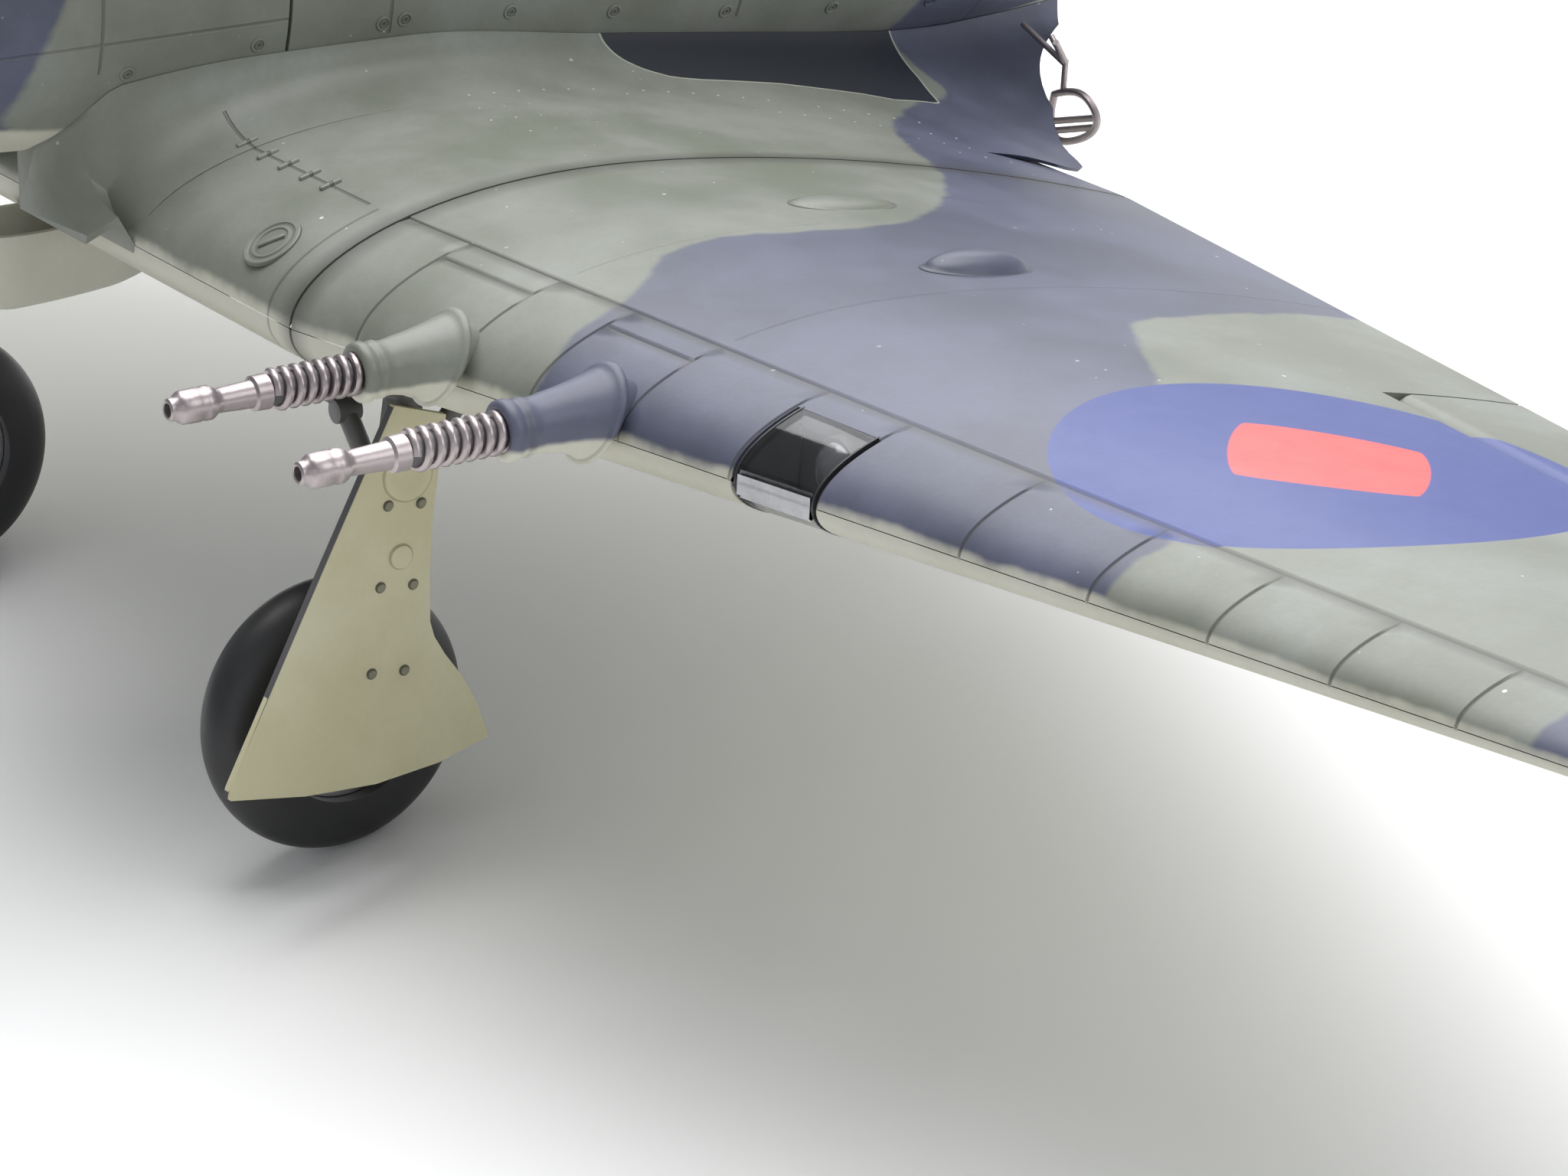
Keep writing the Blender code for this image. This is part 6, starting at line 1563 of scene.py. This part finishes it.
axle = -25.6446
leg = weld("tail_leg_finished",
           rod("leg", (0, 255, -0.5), (0, 255, axle + 7), 1.0, bevel=0.1),
           box("bridge", (-3, 253.8, axle + 5.4), (3, 259, axle + 7.2), 0.4),
           *[rod("arm", (s * 2.45, 257, axle + 6.2), (s * 2.45, 261.4, axle - 0.5), 0.55, bevel=0.1)
             for s in (1, -1)],
           rod("axle", (-2.8, 261, axle), (2.8, 261, axle), 0.5, bevel=0.05))
settle(smooth(leg), "tail_leg", LEG_PAINT, "underside", "tail_leg")
tyre = turned("tail_wheel_rubber", arc_tyre(4.6, 1.7, 0.8, 30), (0, 261, axle), "X", 72, closed=True)
settle(smooth(tyre), "tail_wheel", RUBBER, "tyre_rubber", "tail_wheel")

# --- Intakes, exhausts and small fittings --------------------------------------------------------
# The radiator tunnel with its core, the small intake ahead of it, exhaust stubs on the cowling,
# the footstep behind the port wing root and the aerial mast.


def scoop(name, rows, high, wall):
    """An open tunnel, a half-oval in section, that hangs from the wing."""
    stations = np.linspace(rows[0][0], rows[-1][0], 24)
    a = np.linspace(0.0, math.pi, 37)
    outer, inner = [], []
    for y in stations:
        half, low = eased(rows, y)
        for store, less in ((outer, 0.0), (inner, wall)):
            store.append(np.stack([(half - less) * np.cos(a), np.full(37, y),
                                   high + (low + less - high) * np.sin(a)], -1))
    return loft(name, np.concatenate([np.array(outer), np.array(inner)[:, ::-1]], 1))


duct = scoop("radiator_duct", ((108, 8, -37.5), (112, 9, -39), (130, 9, -38), (146, 7.6, -33.5)),
             -24.0, 0.8)
duct = cut(duct, wing_root_cutter())
settle(smooth(duct, 50), "airframe", PALE, "underside", "radiator")
core = prism("radiator_core", [(7.6 * math.cos(a), -24.4 - 13.2 * math.sin(a))
                               for a in np.linspace(0.05, math.pi - 0.05, 25)], 112.0, 114.0, "Y")
settle(core, "airframe", CORE, "white_metal")
lip = scoop("carb_intake_duct", ((58, 3.4, -29.8), (62, 4.2, -30.6), (70, 3.8, -30.2),
                                 (75.5, 2.4, -28.8)), -23.5, 0.6)
lip = cut(lip, wing_root_cutter())
settle(smooth(lip, 50), "airframe", PALE, "underside", "carb_intake")

for hand, label in ((1, "left"), (-1, "right")):
    stubs = []
    for k in range(6):
        y = 42.0 + 5.6 * k
        width = body_width_at(y, 3.0)
        stub = rod("stub", (hand * (width - 1.4), y, 3.0), (hand * (width + 1.1), y + 3.4, 2.7), 1.15,
                   0.95, 20)
        stub.data.transform(Matrix.Translation((0, 0, 3)) @ Matrix.Diagonal((1, 1, 1.45, 1))
                            @ Matrix.Translation((0, 0, -3)))
        stubs.append(stub)
    stubs.append(box("plate", *[tuple(v) for v in (
        (min(hand * 13.2, hand * 14.55), 40.0, 0.6), (max(hand * 13.2, hand * 14.55), 73.5, 5.6))],
        bevel=0.25))
    settle(smooth(weld(f"exhaust_stubs_{label}", *stubs)), "airframe", DARK_STEEL, "steel")

loop = [(16.9, 152, -22.5), (18.9, 152, -21.7), (21.2, 152, -21.6), (22.9, 152, -22.9),
        (22.8, 152, -24.2), (21.0, 152, -25.5), (17.8, 152, -26.6), (16.6, 152, -25.8),
        (16.4, 152, -24.0)]
step = weld("footstep", wire("loop", loop, 0.34, True, 3, 3),
            rod("bar", (16.8, 152, -24.9), (22.8, 152, -23.2), 0.3, sides=14),
            rod("bar", (17.0, 152, -25.7), (22.5, 152, -24.1), 0.3, sides=14),
            rod("stalk", (18.1, 152, -21.9), (18.3, 152, -19.2), 0.27, sides=14),
            rod("brace", (18.3, 152, -19.4), (16.2, 152, -17.6), 0.27, sides=14),
            rod("brace", (18.3, 152, -19.4), (19.2, 150.2, -17.2), 0.27, sides=14),
            rod("root", (18.3, 152, -19.6), (12.2, 152, -17.4), 0.27, sides=14))
settle(smooth(step), "airframe", STEEL, "steel")

mast = rod("aerial_mast", (0, 176.0, 22.4), (0, 178.0, 41.5), 0.75, 0.3, 16)
settle(smooth(mast), "airframe", DARK_STEEL, "steel")
# --- Internal parts ------------------------------------------------------------------------------
# Battery, receiver, motor, gears and controls keep their cut shapes from the frame. They sit inside
# the shells and take plain finishes of foil, board, nylon, carbon and metal.
NYLON = plain_finish("nylon", (0.62, 0.61, 0.57), (0.7, 0.69, 0.66), 0.5, 0.3)
CARBON = plain_finish("carbon", (0.02, 0.02, 0.022), (0.045, 0.045, 0.05), 0.6, 0.8, 0.0, 0.0, 0.1)
FOIL = plain_finish("cell_wrap", (0.36, 0.37, 0.39), (0.5, 0.51, 0.53), 0.8, 0.5, 0.0, 0.6, 0.08)
BOARD = plain_finish("circuit_board", (0.012, 0.09, 0.03), (0.03, 0.14, 0.05), 0.5, 0.6)
for finish, names in ((NYLON, ("drive_gear",)), (CARBON, ("main_spar",)), (FOIL, ("battery",)),
                      (BOARD, ("receiver_board",)), (COCKPIT, ("cockpit_tub",)),
                      (BLACK, ("motor_frame",)), (SILVER, ("motor_can", "motor_pinion")),
                      (STEEL, ("prop_shaft", "shaft_bearing_front", "shaft_bearing_rear",
                               "elevator_pushrod", "rudder_pushrod"))):
    for name in names:
        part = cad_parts[name]
        part.data.materials.clear()
        part.data.materials.append(finish)
